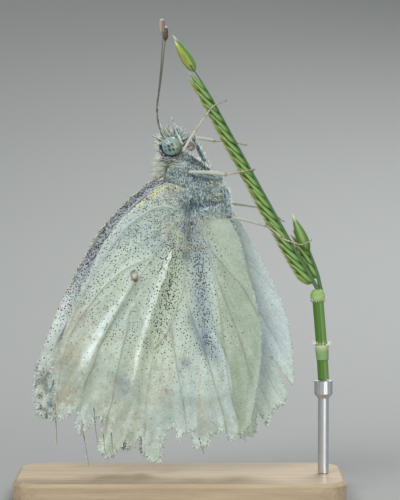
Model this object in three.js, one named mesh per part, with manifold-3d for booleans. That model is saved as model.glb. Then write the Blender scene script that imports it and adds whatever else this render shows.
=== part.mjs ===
// A small white butterfly at rest, wings closed over its back, on a cut length of finger grass
// that a plain stand holds up. Millimetres, +Z up. The animal's right side faces -Y, its head is
// up and its underside faces +X, where the grass is. The origin is the middle of the underside of
// the stand's base. Every piece is a closed solid, and a slender piece is at least THIN thick.
import * as THREE from 'three';
import { mergeVertices } from 'three/addons/utils/BufferGeometryUtils.js';
import Module from 'manifold-3d';

const wasm = await Module();
wasm.setup();

// ---- driving dimensions ----
const THIN = 0.5; // least thickness of a wing, leg, palp or feeler
const FIT = 0.04; // clearance between one piece and its neighbour
const SIDES = { right: -1, left: 1 };

// Body axis from neck to tail in the XZ plane: half depth across it, and half width along Y.
const THORAX_STATIONS = [
  { x: -0.75, z: 31.25, deep: 0.7, wide: 0.6 },
  { x: -0.65, z: 30.85, deep: 1.35, wide: 1.05 },
  { x: -0.42, z: 30.07, deep: 1.85, wide: 1.4 },
  { x: 0.55, z: 28.87, deep: 2.05, wide: 1.75 },
  { x: 1.7, z: 27.6, deep: 2.25, wide: 1.75 },
  { x: 2.6, z: 26.5, deep: 1.75, wide: 1.45 },
  { x: 3.15, z: 25.75, deep: 1.2, wide: 1.15 },
  { x: 3.3, z: 25.45, deep: 0.7, wide: 0.7 },
];
const ABDOMEN_STATIONS = [
  { x: 3.35, z: 25.35, deep: 0.6, wide: 0.6 },
  { x: 3.5, z: 25.05, deep: 1.2, wide: 1.15 },
  { x: 3.85, z: 24.2, deep: 1.35, wide: 1.3 },
  { x: 4.55, z: 21.6, deep: 1.4, wide: 1.35 },
  { x: 5.2, z: 18.8, deep: 1.25, wide: 1.2 },
  { x: 5.6, z: 16.9, deep: 0.95, wide: 0.9 },
  { x: 5.85, z: 15.7, deep: 0.5, wide: 0.5 },
];
const BODY_SIDES = 12;

const HEAD = { centre: [-0.62, 0, 31.95], half: [1.35, 1.08, 1.35] };
const EYE = { centre: [-0.82, 0.75, 31.86], half: [0.93, 0.6, 0.91] };
const COIL = { centre: [1.0, 0, 31.85], radius: 0.55 };
const PALP_LINE = [[0.2, 0.32, 31.9], [-0.3, 0.36, 33.3], [-0.78, 0.4, 34.55]];

const ANTENNA_LINES = {
  right: [[-1.2, 0.3, 32.3], [-1.85, 0.36, 33.3], [-2.1, 0.44, 35.2], [-1.82, 0.52, 37.9],
    [-1.6, 0.57, 40.6], [-1.55, 0.6, 42.0], [-1.64, 0.62, 43.45]],
  left: [[-1.2, 0.3, 32.3], [-1.75, 0.38, 33.3], [-1.95, 0.5, 35.2], [-1.68, 0.6, 37.9],
    [-1.4, 0.66, 40.6], [-1.33, 0.7, 41.7], [-1.4, 0.72, 42.85]],
};
const CLUB_RADIUS = 0.27;

// Hips, with the coxa that grows out of the thorax to each. y is the distance from the midline.
const COXA_RADIUS = 0.42;
const COXAE = {
  fore: { root: [0.9, 0.7, 30.0], hip: [2.65, 0.9, 29.75] },
  mid: { root: [2.0, 0.9, 28.9], hip: [3.85, 1.2, 28.9] },
  hind: { root: [2.8, 0.9, 27.6], hip: [4.2, 1.2, 28.05] },
};
// From the hip on: knee, end of the shin, joints of the foot, claws.
const LEG_LINES = {
  fore_right: [[0.27, 1.65, 31.45], [1.45, 1.2, 33.45], [2.64, 0.95, 35.1], [3.2, 0.9, 35.65],
    [4.1, 0.88, 36.0]],
  fore_left: [[1.18, 1.35, 32.7], [3.18, 1.1, 32.36], [3.9, 1.0, 32.36], [5.2, 0.93, 32.2],
    [5.95, 0.9, 32.02]],
  mid_right: [[0.73, 2.15, 29.64], [4.18, 1.5, 29.36], [5.4, 1.1, 29.55], [6.6, 0.92, 29.8]],
  mid_left: [[0.8, 2.15, 29.6], [4.15, 1.5, 29.3], [5.4, 1.1, 29.5], [6.7, 0.92, 29.7]],
  hind_right: [[4.55, 2.1, 25.55], [7.8, 1.1, 24.7], [8.64, 0.98, 24.15], [9.5, 0.93, 23.45],
    [10.5, 0.92, 23.1], [11.15, 0.9, 22.97], [11.85, 0.88, 23.3]],
  hind_left: [[4.4, 2.45, 26.6], [7.3, 1.15, 26.3], [8.5, 0.95, 25.75], [9.35, 0.92, 25.1]],
};

// Wings in polar form about each hinge: angle from straight down, turning towards -X, and reach.
const HINDWING = {
  hinge: [0.73, 26.1],
  margin: [[190, 1.57], [165, 2.2], [140, 3.2], [110, 3.88], [89, 5.27], [72, 7.6],
    [58.5, 10.45], [51.5, 13.1], [44.5, 16.3], [41.5, 18.9], [37.4, 20.1], [33, 22.2],
    [27, 22.7], [19.5, 23.4], [17.6, 23.7], [16.2, 22.7], [10.4, 22.4], [8.6, 23.1], [6.6, 23.1],
    [2, 21.9], [-4, 21.6], [-12.4, 21.1], [-16.1, 20.4], [-18.6, 18.8], [-23.1, 16.5],
    [-33.2, 11.9], [-40.5, 8.9], [-50, 6.6], [-70, 4.4], [-98, 3.2]],
  rows: [0, 0.2, 0.45, 0.72, 1],
  root: 0.35,
};
const FOREWING = {
  hinge: [0.0, 28.2],
  margin: [[111, 2.25], [86, 3.65], [70.7, 5.8], [61.5, 8.3], [52.4, 11.5], [45.7, 15.2],
    [41.4, 18.5], [38.6, 20.9], [35.7, 22.7], [32, 24.6], [28.9, 24.4], [26.5, 22.9],
    [19, 21.6], [10, 20.0], [3.3, 18.6], [1.5, 18.0]],
  rows: [0, 0.25, 0.5, 0.75, 1],
  root: 0.9,
};
// The left hindwing lies lower than the right one by this turn about its hinge.
const LEFT_HINDWING_DROP = 12.5;

// Tears in the worn outer margins: angle on the wing, half width in degrees, depth, and how
// blunt the tear is (1 is a plain notch, 4 a square bite).
const TEARS = {
  hindwing_right: [[28.9, 2.6, 2.0, 1], [22.8, 2.1, 2.3, 3], [15.2, 0.8, 1.0, 1],
    [11.9, 1.1, 1.2, 2], [4.4, 2.1, 2.5, 4], [0.9, 2.3, 1.3, 6], [-0.5, 0.6, 1.7, 1],
    [-7.4, 2.6, 1.1, 3]],
  hindwing_left: [[34, 1.6, 1.2, 1], [25, 1.4, 1.9, 2], [10.5, 11.0, 3.8, 6],
    [-6.4, 1.9, 2.1, 1], [-8.8, 1.9, 0.9, 1], [-11.6, 3.0, 1.2, 3], [-15.5, 3.2, 1.2, 2],
    [-16.8, 1.5, 4.6, 1]],
  forewing_right: [[30.2, 0.6, 0.6, 1], [16, 1.8, 1.1, 1]],
  forewing_left: [[29.4, 0.7, 0.9, 1], [13, 1.6, 1.0, 1]],
};
// Bare ends of veins left standing past the torn margin of the right hindwing: [x, z] pairs.
const BARE_VEINS = [
  [[-8.91, 6.6], [-8.36, 2.75]],
  [[-7.82, 7.8], [-7.55, 4.9]],
  [[-6.98, 5.6], [-6.85, 3.8]],
  [[-6.25, 5.6], [-6.1, 3.4]],
  [[-11.35, 8.2], [-11.27, 4.85]],
  [[1.78, 5.2], [2.2, 3.9]],
];

// Closeness of the shut wings: middle of each plate from the midline, far out and at its hinge.
const HINDWING_SPACING = { out: 1.02, hinge: 1.55, fall: 6 };
const FOREWING_SPACING = { out: 0.39, hinge: 0.85, fall: 5 };

// Grass: the spike that the feet hold, the stump of the next one, and the culm below the node.
const SPIKE_LINE = [[12.55, 0, 18.2], [9.5, 0, 23.4], [5.6, 0, 30.5], [2.6, 0, 36.0],
  [0.55, 0, 39.7], [-0.3, 0, 41.6]];
const STUMP_LINE = [[12.6, 0.35, 18.4], [12.2, 1.0, 20.2], [11.4, 1.1, 22.4], [10.4, 1.1, 25.2]];
const RACHIS_RADIUS = 0.26;
const SPIKELET = { length: 2.4, radius: 0.31, lean: 0.09, offset: 0.28, pitch: 1.16 };
const NODE_RADIUS = 0.72;
const CULM_LINE = [[12.55, 0, 18.2], [12.75, 0, 15.8], [12.95, 0, 13.2], [13.1, 0, 10.6]];
const CULM_RADIUS = 0.52;
const SHEATH = { at: [12.96, 0, 13.1], radius: 0.68, height: 1.1 };

const BASE = { length: 30, width: 15, height: 2, corner: 3, bevel: 0.35 };
const ROD = { x: 13.1, radius: 0.5, cupRadius: 0.85, cupHeight: 1.2 };

// ---- small helpers ----
const rad = THREE.MathUtils.degToRad;
const vec = ([x, y, z]) => new THREE.Vector3(x, y, z);
const mirrored = ([x, y, z], side) => new THREE.Vector3(x, y * side, z);

function bare(geometry) {
  const plain = geometry.index ? geometry.clone() : geometry;
  plain.deleteAttribute('normal');
  plain.deleteAttribute('uv');
  return mergeVertices(plain, 1e-5);
}

function toSolid(geometry) {
  const merged = bare(geometry);
  return new wasm.Manifold(new wasm.Mesh({
    numProp: 3,
    vertProperties: new Float32Array(merged.attributes.position.array),
    triVerts: new Uint32Array(merged.index.array),
  }));
}

function toGeometry(solid) {
  const mesh = solid.getMesh();
  const geometry = new THREE.BufferGeometry();
  geometry.setAttribute('position', new THREE.BufferAttribute(mesh.vertProperties, 3));
  geometry.setIndex(new THREE.BufferAttribute(mesh.triVerts, 1));
  return geometry;
}

const join = (geometries) => toGeometry(
  geometries.map(toSolid).reduce((whole, piece) => whole.add(piece)));

// Cuts the neighbours away and keeps the largest piece that is left.
function carve(geometry, cutters) {
  const cut = cutters.map(toSolid).reduce((whole, cutter) => whole.subtract(cutter),
    toSolid(geometry));
  const pieces = cut.decompose().sort((a, b) => b.volume() - a.volume());
  return toGeometry(pieces[0]);
}

// Closed solid through rings of equal count, with a flat end at the first and last.
function loft(rings) {
  const sides = rings[0].length;
  const positions = rings.flat().flatMap((p) => [p.x, p.y, p.z]);
  const index = [];
  for (let ring = 0; ring + 1 < rings.length; ring += 1) {
    for (let side = 0; side < sides; side += 1) {
      const a = ring * sides + side;
      const b = ring * sides + ((side + 1) % sides);
      index.push(a, b, b + sides, a, b + sides, a + sides);
    }
  }
  const last = (rings.length - 1) * sides;
  for (let side = 1; side + 1 < sides; side += 1) {
    index.push(0, side + 1, side);
    index.push(last, last + side, last + side + 1);
  }
  const geometry = new THREE.BufferGeometry();
  geometry.setAttribute('position', new THREE.Float32BufferAttribute(positions, 3));
  geometry.setIndex(index);
  return geometry;
}

// Body length with elliptical sections square to its axis in the XZ plane.
function bodyLoft(stations, grow = 0) {
  const middles = stations.map((s) => new THREE.Vector3(s.x, 0, s.z));
  const rings = stations.map((station, i) => {
    const before = middles[Math.max(i - 1, 0)];
    const after = middles[Math.min(i + 1, middles.length - 1)];
    const along = after.clone().sub(before).normalize();
    const across = new THREE.Vector3(-along.z, 0, along.x);
    const ring = [];
    for (let k = 0; k < BODY_SIDES; k += 1) {
      const turn = (2 * Math.PI * k) / BODY_SIDES;
      ring.push(middles[i].clone()
        .addScaledVector(across, (station.deep + grow) * Math.cos(turn))
        .add(new THREE.Vector3(0, -(station.wide + grow) * Math.sin(turn), 0)));
    }
    return ring;
  });
  return loft(rings);
}

// Tube of changing radius along a smooth curve; radius(t) with t from 0 to 1.
function taperedTube(points, steps, radius, sides = 6) {
  const curve = new THREE.CatmullRomCurve3(points, false, 'centripetal');
  const rings = [];
  for (let i = 0; i <= steps; i += 1) {
    const t = i / steps;
    const middle = curve.getPointAt(t);
    const along = curve.getTangentAt(t);
    const first = new THREE.Vector3(0, 1, 0).projectOnPlane(along).normalize();
    const second = along.clone().cross(first);
    const ring = [];
    for (let k = 0; k < sides; k += 1) {
      const turn = (2 * Math.PI * k) / sides;
      ring.push(middle.clone()
        .addScaledVector(first, radius(t) * Math.cos(turn))
        .addScaledVector(second, radius(t) * Math.sin(turn)));
    }
    rings.push(ring);
  }
  return loft(rings);
}

// Straight tapered length from one point to another, run on past both by the given overlap.
function strut(from, to, radiusFrom, radiusTo, overlap = 0, sides = 7) {
  const along = to.clone().sub(from);
  const length = along.length() + 2 * overlap;
  const geometry = new THREE.CylinderGeometry(radiusTo, radiusFrom, length, sides);
  const turn = new THREE.Quaternion().setFromUnitVectors(
    new THREE.Vector3(0, 1, 0), along.normalize());
  geometry.applyQuaternion(turn);
  const middle = from.clone().add(to).multiplyScalar(0.5);
  return geometry.translate(middle.x, middle.y, middle.z);
}

function ellipsoid(centre, half, around, down) {
  const geometry = new THREE.SphereGeometry(1, around, down);
  geometry.rotateX(Math.PI / 2).scale(...half);
  return geometry.translate(...centre);
}

// ---- body ----
const grown = (half, grow) => half.map((h) => h + grow);
const head = (grow = 0) => ellipsoid(HEAD.centre, grown(HEAD.half, grow), 12, 8);
const eye = (side, grow = 0) => ellipsoid(
  [EYE.centre[0], EYE.centre[1] * side, EYE.centre[2]], grown(EYE.half, grow), 12, 7);

function thorax(grow = 0) {
  const pieces = [bodyLoft(THORAX_STATIONS, grow)];
  for (const { root, hip } of Object.values(COXAE)) {
    for (const side of Object.values(SIDES)) {
      const radius = COXA_RADIUS + grow;
      pieces.push(strut(mirrored(root, side), mirrored(hip, side), radius + 0.1, radius, grow, 6));
    }
  }
  return join(pieces);
}

function antenna(name) {
  const points = ANTENNA_LINES[name].map((p) => mirrored(p, SIDES[name]));
  const clubStart = 0.86;
  const radius = (t) => (t < clubStart ? THIN / 2 : CLUB_RADIUS);
  return taperedTube(points, 11, radius);
}

function palp(side) {
  const [root, bend, tip] = PALP_LINE.map((p) => mirrored(p, side));
  const radius = THIN / 2;
  return join([strut(root, bend, radius + 0.07, radius + 0.05, 0.08),
    strut(bend, tip, radius + 0.05, radius, 0.08)]);
}

// The femur folds back on the shin at the knee, and the shin runs on smoothly into the foot.
function leg(name, side) {
  const pair = name.split('_')[0];
  const hip = mirrored(COXAE[pair].hip, side);
  const line = LEG_LINES[name].map((p) => mirrored(p, side));
  const radius = THIN / 2;
  return join([strut(hip, line[0], radius + 0.05, radius, 0.08, 6),
    taperedTube(line, 2 * (line.length - 1), () => radius)]);
}

// ---- wings ----
// Half width of the body at a place in the XZ plane, a little spread so that wings clear it.
function bodyHalfWidth(x, z) {
  const spread = 1.12;
  let widest = 0;
  for (const stations of [THORAX_STATIONS, ABDOMEN_STATIONS]) {
    for (let i = 0; i + 1 < stations.length; i += 1) {
      const a = stations[i];
      const b = stations[i + 1];
      const run = [b.x - a.x, b.z - a.z];
      const length2 = run[0] ** 2 + run[1] ** 2;
      const t = THREE.MathUtils.clamp(((x - a.x) * run[0] + (z - a.z) * run[1]) / length2, 0, 1);
      const away = Math.hypot(x - a.x - run[0] * t, z - a.z - run[1] * t);
      const deep = THREE.MathUtils.lerp(a.deep, b.deep, t) * spread;
      const wide = THREE.MathUtils.lerp(a.wide, b.wide, t);
      widest = Math.max(widest, wide * Math.sqrt(Math.max(0, 1 - (away / deep) ** 2)));
    }
  }
  return widest;
}

const softMax = (a, b, blend) => (a + b + Math.sqrt((a - b) ** 2 + blend ** 2)) / 2;
const spacing = (gap, r) => gap.out + (gap.hinge - gap.out) * Math.exp(-r / gap.fall);

// Distance of the middle of a wing plate from the midline.
function hindwingMiddle(x, z) {
  const r = Math.hypot(x - HINDWING.hinge[0], z - HINDWING.hinge[1]);
  const clear = bodyHalfWidth(x, z) + THIN / 2 + 0.12;
  return softMax(spacing(HINDWING_SPACING, r), clear, 0.35);
}

function forewingMiddle(x, z) {
  const r = Math.hypot(x - FOREWING.hinge[0], z - FOREWING.hinge[1]);
  return spacing(FOREWING_SPACING, r);
}

// Smooth reach of a wing at an angle, through its margin's points.
function marginReach(margin, angle) {
  const slope = (i) => {
    const a = margin[Math.max(i - 1, 0)];
    const b = margin[Math.min(i + 1, margin.length - 1)];
    return (b[1] - a[1]) / (b[0] - a[0]);
  };
  let i = 0;
  while (i + 2 < margin.length && angle < margin[i + 1][0]) i += 1;
  const [a, b] = [margin[i], margin[i + 1]];
  const span = b[0] - a[0];
  const t = THREE.MathUtils.clamp((angle - a[0]) / span, 0, 1);
  const [t2, t3] = [t * t, t * t * t];
  return a[1] * (2 * t3 - 3 * t2 + 1) + slope(i) * span * (t3 - 2 * t2 + t)
    + b[1] * (3 * t2 - 2 * t3) + slope(i + 1) * span * (t3 - t2);
}

function tornReach(margin, tears, angle) {
  let cut = 0;
  for (const [at, half, depth, blunt] of tears) {
    const off = Math.abs(angle - at) / half;
    if (off < 1) cut = Math.max(cut, depth * (1 - off ** blunt));
  }
  return marginReach(margin, angle) - cut;
}

// Angles of the plate's columns: the margin's own, and those that each tear needs.
function columnAngles(margin, tears) {
  const angles = margin.map(([angle]) => angle);
  for (const [at, half, , blunt] of tears) {
    angles.push(at - half, at, at + half);
    if (blunt > 1) angles.push(at - half * 0.7, at + half * 0.7);
  }
  const last = margin[margin.length - 1][0];
  const sorted = angles.filter((a) => a >= last).sort((a, b) => b - a);
  return sorted.filter((a, i) => i === 0 || sorted[i - 1] - a > 0.12);
}

// Closed plate: a grid of columns fanned about the hinge, with an inner and an outer face.
function wingPlate(wing, tears, drop, side, middleAt) {
  const angles = columnAngles(wing.margin, tears);
  const [hingeX, hingeZ] = wing.hinge;
  const rings = angles.map((angle) => {
    const reach = tornReach(wing.margin, tears, angle);
    const turn = rad(angle - drop);
    const inner = [];
    const outer = [];
    for (const row of wing.rows) {
      const r = THREE.MathUtils.lerp(wing.root, reach, row);
      const x = hingeX - r * Math.sin(turn);
      const z = hingeZ - r * Math.cos(turn);
      const middle = middleAt(x, z);
      inner.push(new THREE.Vector3(x, side * (middle - THIN / 2), z));
      outer.push(new THREE.Vector3(x, side * (middle + THIN / 2), z));
    }
    return [...inner, ...outer.reverse()];
  });
  return loft(side < 0 ? rings.reverse() : rings);
}

function bareVein([from, to]) {
  const radius = THIN / 2 - 0.01;
  const place = ([x, z]) => new THREE.Vector3(x, -hindwingMiddle(x, z), z);
  return strut(place(from), place(to), radius, radius, 0, 5);
}

function hindwing(name) {
  const drop = name === 'left' ? LEFT_HINDWING_DROP : 0;
  const plate = wingPlate(HINDWING, TEARS[`hindwing_${name}`], drop, SIDES[name], hindwingMiddle);
  return name === 'right' ? join([plate, ...BARE_VEINS.map(bareVein)]) : join([plate]);
}

function forewing(name) {
  const plate = wingPlate(FOREWING, TEARS[`forewing_${name}`], 0, SIDES[name], forewingMiddle);
  return carve(plate, [thorax(FIT), head(FIT)]);
}

// ---- grass and stand ----
// Spindle of a spikelet, pointing up +Y from its foot at the origin.
function spikelet(size) {
  const { length, radius } = SPIKELET;
  const profile = [[0, 0], [1, 0.35], [0.7, 0.75], [0, 1]]
    .map(([r, y]) => new THREE.Vector2(r * radius * size, y * length * size));
  return new THREE.LatheGeometry(profile, 4);
}

// Rachis with spikelets that leave it by turns to the one side and the other.
function spike(points, start, end) {
  const curve = new THREE.CatmullRomCurve3(points, false, 'centripetal');
  const length = curve.getLength();
  const pieces = [taperedTube(points, 12, () => RACHIS_RADIUS)];
  const count = Math.floor((end * length - start) / SPIKELET.pitch);
  for (let i = 0; i <= count; i += 1) {
    const t = (start + i * SPIKELET.pitch) / length;
    const foot = curve.getPointAt(t);
    const along = curve.getTangentAt(t);
    const sideways = new THREE.Vector3(along.z, 0, -along.x).multiplyScalar(i % 2 ? 1 : -1);
    const direction = along.clone().addScaledVector(sideways, SPIKELET.lean).normalize();
    const piece = spikelet(THREE.MathUtils.lerp(1.05, 0.85, t));
    piece.applyQuaternion(new THREE.Quaternion().setFromUnitVectors(
      new THREE.Vector3(0, 1, 0), direction));
    foot.addScaledVector(sideways, SPIKELET.offset);
    pieces.push(piece.translate(foot.x, foot.y, foot.z));
  }
  return pieces;
}

function grass() {
  const culm = taperedTube(CULM_LINE.map(vec), 6, () => CULM_RADIUS, 8);
  const knot = ellipsoid(SPIKE_LINE[0], [NODE_RADIUS, NODE_RADIUS, NODE_RADIUS * 1.1], 10, 6);
  const sheath = new THREE.CylinderGeometry(SHEATH.radius, CULM_RADIUS + 0.02, SHEATH.height, 10);
  sheath.rotateX(Math.PI / 2).translate(...SHEATH.at);
  return join([culm, knot, sheath, ...spike(SPIKE_LINE.map(vec), 1.4, 0.93),
    ...spike(STUMP_LINE.map(vec), 1.6, 0.72)]);
}

function roundedRectangle(length, width, corner) {
  const [x, y] = [length / 2, width / 2];
  const shape = new THREE.Shape();
  shape.absarc(x - corner, y - corner, corner, 0, Math.PI / 2);
  shape.absarc(corner - x, y - corner, corner, Math.PI / 2, Math.PI);
  shape.absarc(corner - x, corner - y, corner, Math.PI, 1.5 * Math.PI);
  shape.absarc(x - corner, corner - y, corner, 1.5 * Math.PI, 2 * Math.PI);
  return shape;
}

function standBase() {
  const { length, width, height, corner, bevel } = BASE;
  const outline = roundedRectangle(length - 2 * bevel, width - 2 * bevel, corner - bevel);
  return new THREE.ExtrudeGeometry(outline, {
    depth: height - 2 * bevel, steps: 1, curveSegments: 5,
    bevelEnabled: true, bevelThickness: bevel, bevelSize: bevel, bevelSegments: 1,
  }).translate(0, 0, bevel);
}

// Rod with a cup on top, on which the cut end of the culm stands.
function standRod() {
  const foot = BASE.height + FIT;
  const top = CULM_LINE[CULM_LINE.length - 1][2] - FIT - 0.06;
  const profile = [[0, foot], [ROD.radius, foot], [ROD.radius, top - ROD.cupHeight - 0.4],
    [ROD.cupRadius, top - ROD.cupHeight], [ROD.cupRadius, top], [0, top]]
    .map(([r, z]) => new THREE.Vector2(r, z));
  return new THREE.LatheGeometry(profile, 16).rotateX(Math.PI / 2).translate(ROD.x, 0, 0);
}

// ---- the model ----
const COLOURS = {
  chitin: 0x5b5c52, scales: 0x8f9a97, wing: 0xc3cdc0, eye: 0x8fa89c, palp: 0xa9b4b2,
  antenna: 0x6f6c5c, coil: 0x9a6a34, leg: 0x9a9d87, grass: 0x7f9c52, wood: 0xd6bd95,
  steel: 0xb6b8ba,
};

const model = new THREE.Group();

function add(name, geometry, colour, roughness = 0.7, metalness = 0) {
  const material = new THREE.MeshStandardMaterial({ color: colour, roughness, metalness });
  const mesh = new THREE.Mesh(geometry, material);
  mesh.name = name;
  model.add(mesh);
}

add('head', carve(head(), [eye(1, FIT), eye(-1, FIT)]), COLOURS.scales);
add('thorax', carve(thorax(), [head(FIT)]), COLOURS.scales);
add('abdomen', bodyLoft(ABDOMEN_STATIONS), COLOURS.scales);
add('proboscis_coil', carve(
  strut(vec([COIL.centre[0], -THIN / 2, COIL.centre[2]]),
    vec([COIL.centre[0], THIN / 2, COIL.centre[2]]), COIL.radius, COIL.radius, 0, 14),
  [head(FIT), thorax(FIT)]), COLOURS.coil, 0.4);

for (const [name, side] of Object.entries(SIDES)) {
  add(`eye_${name}`, eye(side), COLOURS.eye, 0.25);
  add(`palp_${name}`, carve(palp(side), [head(FIT), eye(side, FIT)]), COLOURS.palp);
  add(`antenna_${name}`, carve(antenna(name), [head(FIT), eye(side, FIT)]), COLOURS.antenna);
  add(`forewing_${name}`, forewing(name), COLOURS.wing);
  add(`hindwing_${name}`, hindwing(name), COLOURS.wing);
}

for (const name of Object.keys(LEG_LINES)) {
  const [pair, sideName] = name.split('_');
  const cutters = [thorax(FIT), head(FIT)];
  add(`leg_${pair}_${sideName}`, carve(leg(name, SIDES[sideName]), cutters), COLOURS.leg);
}

add('perch_grass', grass(), COLOURS.grass);
add('stand_rod', bare(standRod()), COLOURS.steel, 0.3, 1);
add('stand_base', bare(standBase()), COLOURS.wood, 0.5);

export default model;
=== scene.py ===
"""The looks of a small white butterfly at rest on a cut spike of grass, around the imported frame.

Lengths below are in millimetres in the frame's axes, and turn into metres where a mesh is made.
The animal's right side faces -Y, its head is up, and the grass is on the +X side.
"""
import math

import bpy
import numpy as np
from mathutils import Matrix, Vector
from mathutils.bvhtree import BVHTree
from mathutils.geometry import delaunay_2d_cdt


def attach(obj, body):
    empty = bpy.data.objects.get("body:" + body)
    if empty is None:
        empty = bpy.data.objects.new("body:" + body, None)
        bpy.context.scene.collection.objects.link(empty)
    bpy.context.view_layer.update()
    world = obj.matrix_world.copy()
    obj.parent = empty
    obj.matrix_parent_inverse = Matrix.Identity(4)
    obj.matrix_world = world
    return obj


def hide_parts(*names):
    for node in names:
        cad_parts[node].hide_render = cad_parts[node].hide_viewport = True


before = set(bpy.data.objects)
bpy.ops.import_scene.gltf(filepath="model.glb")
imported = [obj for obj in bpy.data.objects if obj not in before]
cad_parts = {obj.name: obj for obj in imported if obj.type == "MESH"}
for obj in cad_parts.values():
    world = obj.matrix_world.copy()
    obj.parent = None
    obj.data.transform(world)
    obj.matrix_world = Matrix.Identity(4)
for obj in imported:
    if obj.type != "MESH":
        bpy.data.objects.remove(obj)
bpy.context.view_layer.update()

MM = 0.001
FULL_TURN = 2.0 * math.pi
LIGHT_LEVEL = 0.85  # how bright the lights make a white surface: tones are divided by it
SIDES = {"right": -1, "left": 1}


# ---------------------------------------------------------------- numbers and shapes

def tone(red, green, blue):
    """Albedo of a surface that is to look like this 8-bit colour under the studio's lights."""
    shown = np.array([red, green, blue]) / 255.0
    linear = np.where(shown <= 0.04045, shown / 12.92, ((shown + 0.055) / 1.055) ** 2.4)
    return np.minimum(linear / LIGHT_LEVEL, 0.95)


def smooth_step(low, high, value):
    """Rises smoothly from 0 at low to 1 at high; falls where low is the higher."""
    t = np.clip((value - low) / (high - low), 0.0, 1.0)
    return t * t * (3.0 - 2.0 * t)


def band(start, full, fading, end, value):
    """Rises to 1 from start to full, and falls again from fading to end."""
    return smooth_step(start, full, value) * smooth_step(end, fading, value)


def bell(value, width):
    """1 at 0, fading out past the width on either side."""
    return np.exp(-(value / width) ** 2)


def shares(count):
    """So many even steps from 0 to 1."""
    return np.linspace(0.0, 1.0, count)


def angles_round(count):
    """So many even angles round a full turn, in radians."""
    return np.linspace(0.0, FULL_TURN, count, endpoint=False)


def soft_max(a, b, blend):
    """The larger of two values, rounded off where they cross."""
    return (a + b + np.sqrt((a - b) ** 2 + blend ** 2)) / 2.0


def smooth_line(points, step):
    """Catmull-Rom line through the points, sampled about every step."""
    points = np.asarray(points, float)
    if len(points) == 2:
        count = max(2, int(np.linalg.norm(points[1] - points[0]) / step) + 1)
        return points[0] + np.linspace(0.0, 1.0, count)[:, None] * (points[1] - points[0])
    padded = np.vstack([2 * points[0] - points[1], points, 2 * points[-1] - points[-2]])
    pieces = []
    for i in range(1, len(padded) - 2):
        before, start, end, after = padded[i - 1:i + 3]
        count = max(2, int(np.linalg.norm(end - start) / step) + 1)
        t = np.linspace(0.0, 1.0, count, endpoint=False)[:, None]
        pieces.append(0.5 * (2 * start + (end - before) * t
                             + (2 * before - 5 * start + 4 * end - after) * t ** 2
                             + (3 * start - before - 3 * end + after) * t ** 3))
    return np.vstack(pieces + [points[-1:]])


def distance_to_line(points, line):
    """Shortest distance from each 2D or 3D point to a polyline."""
    best = np.full(len(points), np.inf)
    for start, end in zip(line[:-1], line[1:]):
        run = end - start
        off = points - start
        t = np.clip((off @ run) / max(run @ run, 1e-12), 0.0, 1.0)
        off -= t[:, None] * run
        np.minimum(best, np.einsum("ij,ij->i", off, off), out=best)
    return np.sqrt(best)


def near(points, line, width):
    """1 on the line, fading out over the given width."""
    return bell(distance_to_line(points, smooth_line(line, 0.5)), width)


def travelled(line):
    """Length of a line up to each of its points."""
    return np.concatenate([[0], np.cumsum(np.linalg.norm(np.diff(line, axis=0), axis=1))])


def twice_area(points, triangles):
    """Twice the area of triangles on a plane, below 0 where they turn clockwise."""
    a, b, c = (points[triangles[:, k]] for k in range(3))
    return (b[:, 0] - a[:, 0]) * (c[:, 1] - a[:, 1]) - (b[:, 1] - a[:, 1]) * (c[:, 0] - a[:, 0])


def unit(vectors):
    """Vectors of length 1."""
    lengths = np.linalg.norm(vectors, axis=-1, keepdims=True)
    return vectors / np.maximum(lengths, 1e-12)


def inside_polygon(points, polygon):
    """True for 2D points inside a closed outline."""
    x, y = points[:, 0], points[:, 1]
    inside = np.zeros(len(points), bool)
    for (ax, ay), (bx, by) in zip(polygon, np.roll(polygon, -1, axis=0)):
        crosses = (ay > y) != (by > y)
        with np.errstate(divide="ignore", invalid="ignore"):
            inside ^= crosses & (x < (bx - ax) * (y - ay) / (by - ay) + ax)
    return inside


def value_noise(points, size, seed):
    """Smooth random values from -1 to 1 over points, with features of about the given size."""
    points = np.asarray(points, float)
    dimensions, cells, offset, contrast = points.shape[1], 64, 31.7, 1.4
    table = np.random.default_rng(seed).uniform(-1.0, 1.0, (cells,) * dimensions)
    place = points / size + offset
    corner = np.floor(place).astype(int)
    part = place - corner
    part = part * part * (3.0 - 2.0 * part)
    total = np.zeros(len(points))
    for step in np.ndindex((2,) * dimensions):
        weight = np.prod(np.where(step, part, 1.0 - part), axis=1)
        total += weight * table[tuple(((corner + step) % cells).T)]
    return np.clip(total * contrast, -1.0, 1.0)


def random_on(points, triangles, expected, rng):
    """Seeded random places on triangles, about the expected number on each. Returns the places
    and the triangle of each."""
    picked = np.repeat(np.arange(len(triangles)), rng.poisson(expected))
    u, v = rng.random((2, len(picked), 1))
    flip = u + v > 1.0
    u, v = np.where(flip, 1.0 - u, u), np.where(flip, 1.0 - v, v)
    a, b, c = (points[triangles[picked, k]] for k in range(3))
    return a + u * (b - a) + v * (c - a), picked


# ---------------------------------------------------------------- colours

def over(colours, *coats):
    """Lays coats over an array of colours; each is a mask, an 8-bit colour and a strength."""
    for mask, look, strength in coats:
        colours = paint(colours, mask, tone(*look), strength)
    return colours


def coloured(count, ground, *coats):
    """So many colours: an 8-bit ground colour with coats over it."""
    return over(np.tile(tone(*ground), (count, 1)), *coats)


def paint(colours, mask, colour, strength):
    """Lays an albedo over an array of colours, as strongly as the mask says at each."""
    weight = np.clip(mask * strength, 0.0, 1.0)[:, None]
    return colours * (1.0 - weight) + colour * weight


def tones(*looks):
    """Albedos of several 8-bit colours, a row each."""
    return np.array([tone(*look) for look in looks])


PALE_HAIR = tones((206, 212, 200), (184, 194, 184), (168, 182, 184), (200, 196, 152))
DARK_HAIR = tones((44, 52, 52), (62, 72, 74), (86, 94, 92))


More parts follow.
